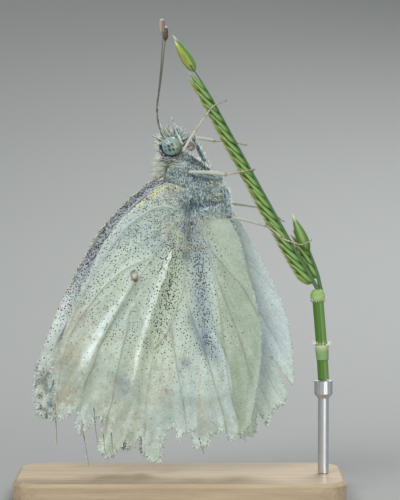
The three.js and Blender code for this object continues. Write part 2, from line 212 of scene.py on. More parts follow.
def choose(rng, count, looks, weights):
    """A random look for each place, in the given proportions; looks are tones or lists of them."""
    looks = np.vstack(looks)
    return looks[rng.choice(len(looks), size=count, p=np.asarray(weights) / np.sum(weights))]


# ---------------------------------------------------------------- making meshes

def mesh_object(name, points, faces, material, replaces=(), tint=None, uv=None, smooth=True):
    """A piece of the model from points in mm and lists or an array of faces; tint is a colour
    per point, uv the place of each point on the unwrap that the looks are baked on."""
    mesh = bpy.data.meshes.new(name)
    places = np.asarray(points) * MM
    if isinstance(faces, np.ndarray):
        count, sides = faces.shape
        mesh.vertices.add(len(points))
        mesh.vertices.foreach_set("co", places.astype(np.float32).ravel())
        mesh.loops.add(count * sides)
        mesh.loops.foreach_set("vertex_index", faces.astype(np.int32).ravel())
        mesh.polygons.add(count)
        mesh.polygons.foreach_set("loop_start", np.arange(0, count * sides, sides, dtype=np.int32))
        mesh.polygons.foreach_set("loop_total", np.full(count, sides, dtype=np.int32))
        mesh.update(calc_edges=True)
    else:
        mesh.from_pydata(places.tolist(), [], faces)
    if tint is not None:
        colours = np.ones((len(points), 4), np.float32)
        colours[:, :3] = tint
        layer = mesh.color_attributes.new("tint", "FLOAT_COLOR", "POINT")
        layer.data.foreach_set("color", colours.ravel())
    if uv is not None:
        corners = np.empty(len(mesh.loops), np.int32)
        mesh.loops.foreach_get("vertex_index", corners)
        layer = mesh.uv_layers.new(name="OFBake")
        layer.data.foreach_set("uv", np.asarray(uv, np.float32)[corners].ravel())
    mesh.polygons.foreach_set("use_smooth", np.full(len(mesh.polygons), smooth))
    mesh.materials.append(material)
    mesh.validate()
    piece = bpy.data.objects.new(name, mesh)
    bpy.context.scene.collection.objects.link(piece)
    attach(piece, "root")
    if replaces:
        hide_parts(*replaces)
    return piece


class Bundle:
    """Gathers closed shapes into one mesh."""

    def __init__(self):
        self.points = []
        self.faces = []
        self.tints = []
        self.count = 0

    def add(self, points, faces, tint):
        points = np.asarray(points, float)
        tint = np.broadcast_to(np.asarray(tint, float), (len(points), 3))
        self.points.append(points)
        self.faces.extend([[corner + self.count for corner in face] for face in faces])
        self.tints.append(tint)
        self.count += len(points)

    def piece(self, name, slot, material, replaces=()):
        return mesh_object(name, np.vstack(self.points), self.faces, material, replaces,
                           np.vstack(self.tints))


def wall_faces(rows, around):
    """Four-sided faces between rows of points that each go once round."""
    return [[row * around + k, row * around + (k + 1) % around,
             (row + 1) * around + (k + 1) % around, (row + 1) * around + k]
            for row in range(rows - 1) for k in range(around)]


def closed_faces(rows, around):
    """Walls closed at both ends by triangles to two points that follow the last row."""
    faces = wall_faces(rows, around)
    start, end, last = rows * around, rows * around + 1, (rows - 1) * around
    for k in range(around):
        after = (k + 1) % around
        faces.append([start, after, k])
        faces.append([end, last + k, last + after])
    return faces


def tube(line, radius, sides, squash=1.0):
    """Closed tube along a 3D line; radius is one value per point. Returns points and faces."""
    line = np.asarray(line, float)
    radius = np.broadcast_to(np.asarray(radius, float), (len(line),))
    along = unit(np.gradient(line, axis=0))
    up = np.array([0.0, 1.0, 0.0])
    first = unit(up - along * (along @ up)[:, None])
    second = np.cross(along, first)
    turns = angles_round(sides)
    ring = (np.cos(turns)[None, :, None] * first[:, None, :] * squash
            + np.sin(turns)[None, :, None] * second[:, None, :])
    points = line[:, None, :] + ring * radius[:, None, None]
    points = np.vstack([points.reshape(-1, 3), line[:1], line[-1:]])
    return points, closed_faces(len(line), sides)


def tinted_tube(bundle, line, radius, look, sides, squash=1.0):
    """Adds a tube whose colour is look(share of its length, turn about it)."""
    points, faces = tube(line, radius, sides, squash)
    part = np.repeat(shares(len(line)), sides)
    turn = np.tile(angles_round(sides), len(line))
    bundle.add(points, faces, np.vstack([look(part, turn), look(np.zeros(1), np.zeros(1)),
                                         look(np.ones(1), np.zeros(1))]))


def plain(colour):
    """Look of a tube that is one colour all over."""
    return lambda part, turn: np.tile(colour, (len(part), 1))


def ellipsoid(centre, half, around, down):
    """Closed ellipsoid with its poles on the Y axis."""
    points = [[0.0, -1.0, 0.0]]
    for j in range(1, down):
        height = -math.cos(math.pi * j / down)
        for i in range(around):
            turn = 2.0 * math.pi * i / around
            wide = math.sqrt(1.0 - height * height)
            points.append([wide * math.cos(turn), height, -wide * math.sin(turn)])
    points.append([0.0, 1.0, 0.0])
    faces = []
    last = len(points) - 1
    for i in range(around):
        after = (i + 1) % around
        faces.append([0, 1 + after, 1 + i])
        faces.append([last, last - around + i, last - around + after])
        for j in range(down - 2):
            low = 1 + j * around
            faces.append([low + i, low + after, low + around + after, low + around + i])
    return np.asarray(points) * np.asarray(half) + np.asarray(centre), faces


# ---------------------------------------------------------------- materials

class Finish:
    """A procedural material under construction, on a Principled shader."""

    def __init__(self, name, roughness, specular=0.4, sheen=0.0, through=0.0, metallic=0.0, coat=0.0):
        """through is the share of light let through a thin part."""
        self.made = bpy.data.materials.new(name)
        self.made.use_nodes = True
        self.nodes, self.links = self.made.node_tree.nodes, self.made.node_tree.links
        self.surface = self.nodes["Principled BSDF"]
        self.colour_inputs = [self.surface.inputs["Base Color"]]
        for socket, value in (("Roughness", roughness), ("Specular IOR Level", specular),
                              ("Sheen Weight", sheen), ("Metallic", metallic), ("Coat Weight", coat)):
            self.surface.inputs[socket].default_value = value
        if through:
            glow = self.nodes.new("ShaderNodeBsdfTranslucent")
            self.colour_inputs.append(glow.inputs["Color"])
            mixed = self.node("MixShader", 0, {0: through, 1: self.surface.outputs[0], 2: glow.outputs[0]})
            self.links.new(mixed, self.nodes["Material Output"].inputs["Surface"])

    def node(self, kind, output, inputs, **settings):
        """Adds a node, sets or links its inputs, and returns one of its outputs."""
        made = self.nodes.new("ShaderNode" + kind)
        for name, value in settings.items():
            setattr(made, name, value)
        for name, value in inputs.items():
            if isinstance(value, bpy.types.NodeSocket):
                self.links.new(value, made.inputs[name])
            else:
                made.inputs[name].default_value = value
        return made.outputs[output]

    def place(self, stretch=None):
        """The object's own coordinates, stretched where asked."""
        own = self.node("TexCoord", "Object", {})
        return self.node("Mapping", "Vector", {"Vector": own, "Scale": stretch}) if stretch else own

    def attribute(self, name, output):
        """Values that the mesh itself carries."""
        return self.node("Attribute", output, {}, attribute_name=name)

    def noise(self, scale, detail=3.0, rough=0.55, vector=None):
        """Noise with so many features per millimetre."""
        place = self.place() if vector is None else vector
        return self.node("TexNoise", "Fac",
                         {"Scale": scale / MM, "Detail": detail, "Roughness": rough, "Vector": place})

    def cells(self, scale, output):
        """Cells, so many to a millimetre."""
        return self.node("TexVoronoi", output, {"Scale": scale / MM, "Vector": self.place()})

    def spread(self, value, low, high):
        """Maps 0..1 to low..high."""
        return self.node("MapRange", "Result", {"Value": value, "To Min": low, "To Max": high})

    def scaled(self, colour, value, low, high):
        """A colour times a value that is spread from low to high over the surface."""
        factor = self.spread(value, low, high)
        return self.node("VectorMath", "Vector", {0: colour, "Scale": factor}, operation="SCALE")

    def set_colour(self, socket):
        """Gives the surface, and the light through it, a colour from another node."""
        for taken in self.colour_inputs:
            self.links.new(socket, taken)

    def bump(self, height, distance):
        """Bump of so many millimetres, over any bump that is there already."""
        inputs = {"Strength": 1.0, "Distance": distance * MM, "Height": height}
        below = self.surface.inputs["Normal"].links
        if below:
            inputs["Normal"] = below[0].from_socket
        self.links.new(self.node("Bump", "Normal", inputs), self.surface.inputs["Normal"])


def tinted(name, mottle, mottle_scale=3.0, relief=None, **values):
    """Finish that takes its colour from the mesh's own tint, mottled between two brightnesses;
    relief is the scale and the height of fine bumps."""
    finish = Finish(name, **values)
    finish.set_colour(finish.scaled(finish.attribute("tint", "Color"), finish.noise(mottle_scale), *mottle))
    if relief:
        scale, height = relief
        finish.bump(finish.noise(scale, 2.0), height)
    return finish


# ---------------------------------------------------------------- body lines, as in the frame

# Axis of the body from neck to tail: x, z, half depth in the XZ plane, half width along Y.
THORAX_STATIONS = [(-0.75, 31.25, 0.7, 0.6), (-0.65, 30.85, 1.35, 1.05), (-0.42, 30.07, 1.85, 1.4),
                   (0.55, 28.87, 2.05, 1.75), (1.7, 27.6, 2.25, 1.75), (2.6, 26.5, 1.75, 1.45),
                   (3.15, 25.75, 1.2, 1.15)]
ABDOMEN_STATIONS = [(3.5, 25.05, 1.2, 1.15), (3.85, 24.2, 1.35, 1.3), (4.55, 21.6, 1.4, 1.35),
                    (5.2, 18.8, 1.25, 1.2), (5.6, 16.9, 0.95, 0.9), (5.85, 15.7, 0.5, 0.5)]
HEAD_CENTRE, HEAD_HALF = (-0.62, 0.0, 31.95), (1.35, 1.08, 1.35)
EYE_CENTRE, EYE_HALF = (-0.82, 0.75, 31.86), (0.93, 0.6, 0.91)


def body_half_width(x, z):
    """Half width of the body along Y at places in the XZ plane."""
    spread_out = 1.12
    widest = np.zeros(np.shape(x))
    for stations in (THORAX_STATIONS, ABDOMEN_STATIONS):
        for a, b in zip(stations[:-1], stations[1:]):
            run = np.array([b[0] - a[0], b[1] - a[1]])
            t = np.clip(((x - a[0]) * run[0] + (z - a[1]) * run[1]) / (run @ run), 0.0, 1.0)
            away = np.hypot(x - a[0] - run[0] * t, z - a[1] - run[1] * t)
            deep = (a[2] + (b[2] - a[2]) * t) * spread_out
            wide = a[3] + (b[3] - a[3]) * t
            widest = np.maximum(widest, wide * np.sqrt(np.maximum(0.0, 1.0 - (away / deep) ** 2)))
    return widest


# ---------------------------------------------------------------- wings

class Wing:
    """Outline of one wing, in its own plane: a runs from the hinge towards the leading edge (-X
    when the wing hangs straight), d runs from the hinge outwards (down)."""

    def __init__(self, side, hinge, margin, root, drop, tears):
        """root is where the membrane starts, drop the turn about the hinge in degrees."""
        self.side = SIDES[side]
        self.hinge = hinge
        self.margin = np.array(margin, float)
        self.root = root
        self.drop = math.radians(drop)
        self.tears = tears

    def reach(self, angles):
        """Whole, untorn reach of the wing at each angle."""
        knots, values = self.margin[::-1, 0], self.margin[::-1, 1]
        slopes = np.gradient(values, knots)
        slopes[1:-1] = (values[2:] - values[:-2]) / (knots[2:] - knots[:-2])
        i = np.clip(np.searchsorted(knots, angles) - 1, 0, len(knots) - 2)
        span = knots[i + 1] - knots[i]
        t = np.clip((angles - knots[i]) / span, 0.0, 1.0)
        return (values[i] * (2 * t ** 3 - 3 * t ** 2 + 1)
                + slopes[i] * span * (t ** 3 - 2 * t ** 2 + t)
                + values[i + 1] * (3 * t ** 2 - 2 * t ** 3)
                + slopes[i + 1] * span * (t ** 3 - t ** 2))

    def torn_reach(self, angles, seed):
        """Reach with the tears, and with a ragged edge where the margin is worn."""
        whole = self.reach(angles)
        cut = np.zeros(len(angles))
        for at, half, depth, blunt in self.tears:
            off = np.abs(angles - at) / half
            cut = np.maximum(cut, np.where(off < 1.0, depth * (1.0 - off ** blunt), 0.0))
        worn = smooth_step(16.0, 19.0, whole)
        along = (angles * whole * math.pi / 180.0)[:, None]
        ragged = 0.12 * value_noise(along, 0.62, seed) + 0.1 * value_noise(along, 0.27, seed + 1)
        return whole - cut + worn * (ragged - 0.05)

    def outline(self):
        """Closed outline of the torn wing in its own plane."""
        low, high = self.margin[-1, 0], self.margin[0, 0]
        fine, step, root_points = 4000, 0.09, 14
        angles = np.linspace(high, low, fine)
        reach = self.torn_reach(angles, 11)
        turn = np.radians(angles)
        points = np.stack([reach * np.sin(turn), reach * np.cos(turn)], axis=1)
        lengths = travelled(points)
        even = np.linspace(0.0, lengths[-1], int(lengths[-1] / step))
        edge = np.stack([np.interp(even, lengths, points[:, k]) for k in (0, 1)], axis=1)
        back = np.radians(np.linspace(low, high, root_points))
        hinge = self.root * np.stack([np.sin(back), np.cos(back)], axis=1)
        return np.vstack([edge, hinge[1:-1]])

    def world(self, flat):
        """X and Z of places on the wing's own plane."""
        a, d = flat[:, 0], flat[:, 1]
        x = self.hinge[0] - (a * math.cos(self.drop) - d * math.sin(self.drop))
        z = self.hinge[1] - (d * math.cos(self.drop) + a * math.sin(self.drop))
        return x, z


# Hinges are in x and z. A margin is the reach of a whole wing at angles about its hinge.
HINDWING_HINGE = (0.73, 26.1)
HINDWING_MARGIN = [(190, 1.57), (165, 2.2), (140, 3.2), (110, 3.88), (89, 5.27), (72, 7.6),
                   (58.5, 10.45), (51.5, 13.1), (44.5, 16.3), (41.5, 18.9), (37.4, 20.1),
                   (33, 22.2), (27, 22.7), (19.5, 23.4), (17.6, 23.7), (16.2, 22.7), (10.4, 22.4),
                   (8.6, 23.1), (6.6, 23.1), (2, 21.9), (-4, 21.6), (-12.4, 21.1), (-16.1, 20.4),
                   (-18.6, 18.8), (-23.1, 16.5), (-33.2, 11.9), (-40.5, 8.9), (-50, 6.6), (-70, 4.4),
                   (-98, 3.2)]
FOREWING_HINGE = (0.0, 28.2)
FOREWING_MARGIN = [(111, 2.25), (86, 3.65), (70.7, 5.8), (61.5, 8.3), (52.4, 11.5), (45.7, 15.2),
                   (41.4, 18.5), (38.6, 20.9), (35.7, 22.7), (32, 24.6), (28.9, 24.4),
                   (26.5, 22.9), (19, 21.6), (10, 20.0), (3.3, 18.6), (1.5, 18.0)]
# Tears: middle and half width in degrees, depth, and how blunt the cut's bottom is.
TEARS = {
    "hindwing_right": [(28.9, 2.6, 2.0, 1), (22.8, 2.1, 2.3, 3), (15.2, 0.8, 1.0, 1),
                       (11.9, 1.1, 1.2, 2), (4.4, 2.1, 2.5, 4), (0.9, 2.3, 1.3, 6),
                       (-0.5, 0.6, 1.7, 1), (-7.4, 2.6, 1.1, 3)],
    "hindwing_left": [(34, 1.6, 1.2, 1), (25, 1.4, 1.9, 2), (10.5, 11.0, 3.8, 6),
                      (-6.4, 1.9, 2.1, 1), (-8.8, 1.9, 0.9, 1), (-11.6, 3.0, 1.2, 3), (-15.5, 3.2, 1.2, 2),
                      (-16.8, 1.5, 4.6, 1)],
    "forewing_right": [(30.2, 0.6, 0.6, 1), (16, 1.8, 1.1, 1)],
    "forewing_left": [(29.4, 0.7, 0.9, 1), (13, 1.6, 1.0, 1)],
}
WING_DROPS = {"hindwing_left": 12.5}

# Veins as lines on the wing's own plane.
HINDWING_VEINS = {
    "subcosta": [(0.3, 0.1), (1.45, -0.27), (2.6, -0.36), (3.5, 0.0), (5.3, 1.27), (6.2, 2.27),
                 (8.0, 4.7), (9.4, 7.3), (10.6, 10.0), (11.7, 12.3), (12.4, 14.0)],
    "stem": [(0.27, 0.2), (0.9, 0.75), (2.1, 2.3), (3.45, 4.55), (4.9, 6.65)],
    "radius": [(3.3, 4.2), (5.7, 5.3), (7.5, 6.8), (8.9, 8.5), (10.3, 10.5), (11.2, 12.7),
               (11.8, 15.5), (12.0, 19.0)],
    "media_one": [(4.9, 6.65), (6.2, 8.9), (7.1, 10.5), (8.0, 12.3), (8.6, 14.1), (9.3, 15.5),
                  (9.6, 16.8), (9.8, 18.2), (9.65, 20.4)],
    "media_two": [(4.7, 8.4), (5.3, 9.4), (5.5, 10.9), (6.0, 12.7), (6.4, 14.5), (6.7, 15.9),
                  (6.9, 17.3), (7.3, 18.6), (7.55, 20.2)],
    "cell_end": [(4.9, 6.65), (4.7, 8.4), (3.9, 10.6), (3.1, 12.5)],
    "media_three": [(3.1, 12.5), (3.4, 14.5), (3.6, 15.9), (3.8, 17.3), (4.0, 21.6)],
    "cubitus": [(0.0, 0.2), (0.1, 1.8), (0.2, 3.6), (0.36, 6.8), (0.9, 8.6), (1.55, 10.3),
                (2.1, 11.4), (3.1, 12.5)],
    "cubitus_one": [(1.55, 10.3), (1.4, 11.8), (1.1, 13.6), (0.8, 15.5), (0.55, 16.8),
                    (0.36, 18.0), (0.1, 20.3)],
    "cubitus_two": [(0.36, 6.8), (-0.1, 8.8), (-0.64, 10.5), (-1.6, 12.9), (-2.4, 15.6),
                    (-2.8, 17.1), (-3.2, 18.4), (-3.5, 20.0)],
    "anal_one": [(-0.4, 0.3), (-1.55, 1.6), (-2.1, 4.5), (-2.75, 8.0), (-3.2, 11.5),
                 (-3.5, 14.1), (-4.0, 17.1), (-4.6, 18.9)],
    "anal_two": [(-1.0, 0.8), (-1.6, 2.4), (-2.5, 5.7), (-3.45, 8.2), (-4.1, 9.9),
                 (-5.1, 12.9), (-5.7, 15.2)],
    "anal_three": [(-1.6, 1.9), (-2.3, 3.7), (-3.6, 5.3), (-4.8, 6.7), (-6.0, 8.8), (-6.4, 9.6)],
}
FOREWING_VEINS = {
    "subcosta": [(0.4, 0.0), (3.0, 0.7), (5.6, 3.3), (8.2, 7.6), (9.8, 11.0)],
    "radius": [(0.3, 0.3), (3.0, 1.9), (6.0, 5.9), (8.6, 10.9), (11.0, 16.2), (12.6, 20.6)],
    "radius_one": [(6.0, 5.9), (8.8, 9.6), (11.2, 14.0)],
    "radius_three": [(9.6, 13.0), (12.2, 17.0), (13.2, 19.3)],
    "media_one": [(8.6, 11.0), (9.9, 15.5), (11.2, 21.4)],
    "media_two": [(8.1, 12.0), (8.6, 16.5), (9.1, 22.0)],
    "media_three": [(7.0, 12.4), (7.1, 17.0), (7.0, 22.0)],
    "cell_end": [(8.6, 11.0), (8.1, 12.0), (7.0, 12.4)],
    "cubitus": [(0.2, 0.5), (1.5, 3.2), (3.9, 8.0), (5.6, 10.9), (7.0, 12.4)],
    "cubitus_one": [(5.6, 10.9), (5.2, 15.5), (4.8, 21.0)],
    "cubitus_two": [(3.9, 8.0), (3.3, 13.0), (2.6, 20.2)],
    "anal": [(0.1, 0.7), (0.5, 6.0), (0.9, 12.5), (1.15, 18.2)],
}
# Creases of the hindwing membrane between the veins: line, width and height outwards.
HINDWING_CREASES = [
    ([(5.2, 6.6), (6.0, 8.0), (6.8, 9.0), (7.9, 10.7), (8.9, 12.4), (9.8, 15.8)], 0.6, 0.17),
    ([(1.5, 3.3), (2.2, 5.7), (2.8, 7.4), (3.8, 10.7), (4.7, 14.1), (5.3, 17.3)], 0.55, 0.2),
    ([(0.6, 8.5), (0.3, 12.0), (-0.6, 17.0), (-0.9, 20.0)], 0.5, 0.14),
    ([(-0.9, 3.0), (-1.4, 8.0), (-2.2, 12.5), (-3.2, 16.5)], 0.45, 0.2),
    ([(2.2, 1.2), (5.0, 3.3), (7.8, 6.0), (9.8, 9.5)], 0.45, 0.14),
    ([(6.9, 12.0), (7.5, 15.0), (8.2, 19.0)], 0.4, 0.12),
    ([(2.0, 13.0), (1.9, 16.0), (2.0, 20.0)], 0.4, 0.12),
]
# Painted light on the flanks of the two big creases: place down the wing, middle and width of each painted
# white streak.
PAINTED_CREASE_LIGHTS = [
    [(6.5, 5.15, 0.12), (8.0, 6.05, 0.42), (9.05, 6.85, 0.72), (10.7, 7.94, 0.92), (12.4, 8.9, 1.0),
     (14.1, 9.5, 0.9), (15.6, 9.9, 0.7)],
    [(3.3, 1.5, 0.2), (4.0, 1.67, 0.5), (5.7, 2.23, 0.66), (7.4, 2.88, 0.6), (9.05, 3.44, 0.5),
     (10.7, 3.94, 0.6), (12.4, 4.48, 0.42), (14.1, 4.75, 0.26), (15.8, 5.07, 0.24), (17.4, 5.35, 0.2)],
]


def hindwing_middle(x, z):
    """Distance of the hindwings from the midline. They bulge round the body."""
    r = np.hypot(x - HINDWING_HINGE[0], z - HINDWING_HINGE[1])
    taper = 1.02 + 0.53 * np.exp(-r / 6.0)
    clear = body_half_width(x, z) + 0.3
    return soft_max(taper, clear, 0.35) - 0.9 * bell(r, 0.6)


def forewing_middle(x, z):
    """Distance of the forewings from the midline."""
    r = np.hypot(x - FOREWING_HINGE[0], z - FOREWING_HINGE[1])
    return 0.39 + 0.46 * np.exp(-r / 5.0)


class WingSurface:
    """Geometry of a wing: the torn flat outline, its relief and its two faces."""

    membrane = 0.028  # half thickness
    spacing = 0.17  # of the mesh
    vein_rows = (-0.15, -0.09, -0.045, 0.0, 0.045, 0.09, 0.15)  # rows of points beside a vein
    clear_of_vein, clear_of_edge = 0.2, 0.07  # how far the other points keep off
    step = 0.05  # for directions along the surface

    def __init__(self, wing, veins, creases, middle):
        self.wing = wing
        self.vein_lines = list(veins.values())
        self.veins = [smooth_line(line, 0.5) for line in self.vein_lines]
        self.creases = creases
        self.middle = middle
        self.edge = wing.outline()
        self.flat, self.triangles = self.triangulate()

    def triangulate(self):
        """Places on the plane, closer beside the veins, and the triangles between them."""
        edge, gap, row_height, vein_step = self.edge, self.spacing, 0.87, 0.12
        low, high = edge.min(axis=0), edge.max(axis=0)
        columns = np.arange(low[0], high[0], gap)
        rows = np.arange(low[1], high[1], gap * row_height)
        grid = np.array([(a + (gap / 2 if k % 2 else 0.0), d)
                         for k, d in enumerate(rows) for a in columns])
        extra = []
        for vein in self.vein_lines:
            line = smooth_line(vein, vein_step)
            along = unit(np.gradient(line, axis=0))
            across = np.stack([-along[:, 1], along[:, 0]], axis=1)
            extra += [line + across * offset for offset in self.vein_rows]
        inner = np.vstack([grid[self.vein_distance(grid) > self.clear_of_vein], *extra])
        inner = inner[inside_polygon(inner, edge)]
        inner = inner[distance_to_line(inner, np.vstack([edge, edge[:1]])) > self.clear_of_edge]
        corners = [Vector(point) for point in np.vstack([edge, inner]).tolist()]
        ring = list(range(len(edge)))
        found = delaunay_2d_cdt(corners, [], [ring], 1, 1e-4, False)
        flat = np.array([tuple(point) for point in found[0]])
        triangles = np.array([face for face in found[2] if len(face) == 3])
        middles = flat[triangles].mean(axis=1)
        return flat, triangles[inside_polygon(middles, edge)]

    def vein_distance(self, flat):
        """Distance of places on the plane from the nearest vein."""
        return np.min([distance_to_line(flat, line) for line in self.veins], axis=0)

    def relief(self, flat):
        """Height outwards: the veins stand up, the membrane sags and creases between them."""
        away = self.vein_distance(flat)
        rib, sag = bell(away, 0.08), 1.0 - bell(away, 0.5)
        height = 0.035 * rib - 0.08 * sag
        for line, width, rise in self.creases:
            height += rise * near(flat, line, width)
        r = reach_of(flat)
        loose = smooth_step(12.0, 23.0, r)
        height += loose * 0.16 * value_noise(flat, 5.0, 3)
        height += loose * 0.035 * value_noise(flat, 1.3, 6)
        height += 0.018 * value_noise(flat, 0.8, 4)
        return height * smooth_step(0.3, 2.5, r)

    def place(self, flat, lift=0.0):
        """Points in the frame; lift is outwards from the middle of the membrane."""
        x, z = self.wing.world(flat)
        y = self.middle(x, z) + self.relief(flat) + lift
        return np.stack([x, self.wing.side * y, z], axis=1)

    def heading(self, flat, ways, lift=0.0):
        """Unit directions over the surface that follow ways on the plane."""
        return unit(self.place(flat + unit(ways) * self.step, lift) - self.place(flat, lift))

    def normals(self, flat):
        """Outward directions of the membrane at places on the plane."""
        here = self.place(flat)
        across = self.place(flat + [self.step, 0.0]) - here
        down = self.place(flat + [0.0, self.step]) - here
        normal = unit(np.cross(across, down))
        return normal * np.where(normal[:, 1:2] * self.wing.side < 0, -1.0, 1.0)

    def solid(self):
        """Points and triangles of the thin solid, and the flat place of each point.
        The outer face comes first."""
        flat, triangles = self.flat, self.triangles
        turned = twice_area(flat, triangles) < 0
        triangles = np.where(turned[:, None], triangles[:, ::-1], triangles)
        half = self.membrane + 0.035 * bell(self.vein_distance(flat), 0.1)
        outer, inner = self.place(flat, half), self.place(flat, -half)
        if self.wing.side > 0:
            triangles = triangles[:, ::-1]
        count = len(flat)
        edges = np.vstack([triangles[:, [0, 1]], triangles[:, [1, 2]], triangles[:, [2, 0]]])
        keys = {tuple(edge) for edge in edges.tolist()}
        rim = np.array([edge for edge in edges.tolist() if (edge[1], edge[0]) not in keys])
        wall = np.vstack([np.stack([rim[:, 1], rim[:, 0], rim[:, 0] + count], axis=1),
                          np.stack([rim[:, 1], rim[:, 0] + count, rim[:, 1] + count], axis=1)])
        faces = np.vstack([triangles, triangles[:, ::-1] + count, wall])
        return np.vstack([outer, inner]), faces, np.vstack([flat, flat])

    def bake_uv(self, flat, count):
        """Two flat islands side by side: the outer face, then the inner one."""
        low, high = self.edge.min(axis=0), self.edge.max(axis=0)
        room, border = 1.06, 0.01
        size = max((high[0] - low[0]) * 2.0, high[1] - low[1]) * room
        uv = (flat - low) / size + border
        uv[count:, 0] += 0.5
        return uv


def reach_of(flat):
    """Distance of places on a wing's plane from its hinge."""
    return np.hypot(flat[:, 0], flat[:, 1])


def angle_of(flat):
    """Angle of places on a wing's plane about its hinge, in degrees from straight out."""
    return np.degrees(np.arctan2(flat[:, 0], flat[:, 1]))


def spot(flat, centre, half, turn=0.0):
    """Soft oval blot: 1 in the middle, near 0 past its half sizes."""
    off = flat - np.asarray(centre)
    c, s = math.cos(turn), math.sin(turn)
    u = (off[:, 0] * c + off[:, 1] * s) / half[0]
    v = (-off[:, 0] * s + off[:, 1] * c) / half[1]
    return np.exp(-((u ** 2 + v ** 2) ** 1.5))


# Fold between the speckled part of the hindwing and its plain lobe beside the abdomen.
PANEL_EDGE = np.array([(-1.44, 0.8), (-2.03, 4.0), (-2.45, 6.7), (-2.5, 9.0), (-2.53, 11.2),
                       (-3.12, 12.4), (-3.7, 14.1), (-4.0, 15.8), (-4.05, 17.1), (-4.5, 19.2)])
# Edge of the lobe, along which a painted shadow line runs.
LOBE_EDGE = np.array([(-6.6, 9.0), (-6.5, 12.0), (-6.3, 13.6), (-5.9, 15.4), (-5.4, 17.4)])


def beyond(flat, edge, softness):
    """0 to 1 across an edge that runs down the wing, towards the abdomen."""
    middle = np.interp(flat[:, 1], edge[:, 1], edge[:, 0])
    return smooth_step(-softness, softness, middle - flat[:, 0])


def past_panel(flat):
    """0 on the speckled part of the hindwing, 1 on the plain lobe; the fold is sharp lower down."""
    sharp = beyond(flat, PANEL_EDGE, 0.06)
    soft = beyond(flat, PANEL_EDGE - [0.35, 0.0], 0.6)
    low = smooth_step(10.5, 11.8, flat[:, 1])
    return sharp * low + soft * (1.0 - low)


def rays(flat):
    """Coordinates in which streaks run outwards from the hinge: across and along them."""
    return np.stack([angle_of(flat), reach_of(flat) * 0.45], axis=1)


def weathered(flat, colours, seed, depth=0.04):
    """Uneven brightness and a slight drift between cream and blue-grey, as worn scales leave."""
    cloud = (0.5 + 0.3 * value_noise(flat, 3.1, seed) + 0.2 * value_noise(rays(flat), 2.6, seed + 4))
    cloud = cloud[:, None]
    colours = colours * (cloud * [1.025, 1.01, 0.965] + (1.0 - cloud) * [0.985, 0.995, 1.02])
    low = smooth_step(8.0, 15.0, reach_of(flat))
    patchy = (0.6 * value_noise(flat, 1.1, seed + 1) + (0.7 + 0.4 * low) * value_noise(flat, 0.35, seed + 2)
              + (1.1 + 0.7 * low) * value_noise(rays(flat), 1.5, seed + 3))
    return colours * (1.0 + depth * patchy[:, None])


def painted_crease_light(flat, knots, seed):
    """Painted streak of light along a crease: sharp on the abdomen's side, soft on the other."""
    down, middle, width = np.array(knots).T
    place = flat[:, 1]
    wide = np.interp(place, down, width) * (1.0 + 0.22 * value_noise(flat[:, 1:], 0.8, seed))
    off = (flat[:, 0] - np.interp(place, down, middle)) / wide
    shape = smooth_step(-0.52, -0.36, off) * smooth_step(0.62, 0.1, off)
    ends = smooth_step(down[0], down[1], place) * smooth_step(down[-1] + 0.6, down[-3], place)
    broken = 0.74 + 0.2 * value_noise(rays(flat), 1.2, seed + 1) + 0.12 * value_noise(flat, 0.35, seed)
    return shape * ends * broken


def vein_tint(veins, flat, colours, look, reach):
    """Thin brown veins that grow clearer towards the margin."""
    fade = smooth_step(reach * 0.2, reach, reach_of(flat)) * 0.7 + 0.3
    for name, line in veins.items():
        away = distance_to_line(flat, smooth_line(line, 0.4))
        strength = 0.25 if name in ("cell_end", "stem", "subcosta", "radius") else 0.62
        worn = 0.75 + 0.45 * value_noise(flat, 0.7, len(name))
        colours = over(colours, (bell(away, 0.05) * fade * worn, look, strength),
                       (bell(away, 0.2) * fade, look, strength * 0.12))
    return colours


# Dull blotches between the hindwing's veins: middle, half sizes, colour and strength. The first two are
# painted where the forewing's dark spot shows through the membrane.
DULL_BLOTCHES = [((5.85, 15.9), (0.72, 1.2), (114, 126, 132), 0.8),
                 ((4.75, 16.1), (0.5, 0.9), (120, 130, 122), 0.65),
                 ((0.25, 13.9), (0.5, 0.55), (108, 120, 126), 0.75),
                 ((-1.5, 11.9), (0.3, 1.2), (100, 118, 136), 0.6)]
BROWN_SPECKS = [(7.4, 8.9), (3.4, 4.8), (2.1, 11.4), (2.0, 16.4), (9.6, 14.8), (8.9, 11.6)]
YELLOW_LINE = [(4.4, -0.6), (3.46, -1.2), (2.94, -1.62), (2.41, -1.98), (1.89, -2.14), (1.37, -2.1),
               (0.85, -1.9)]
FLANK_SEED = 14


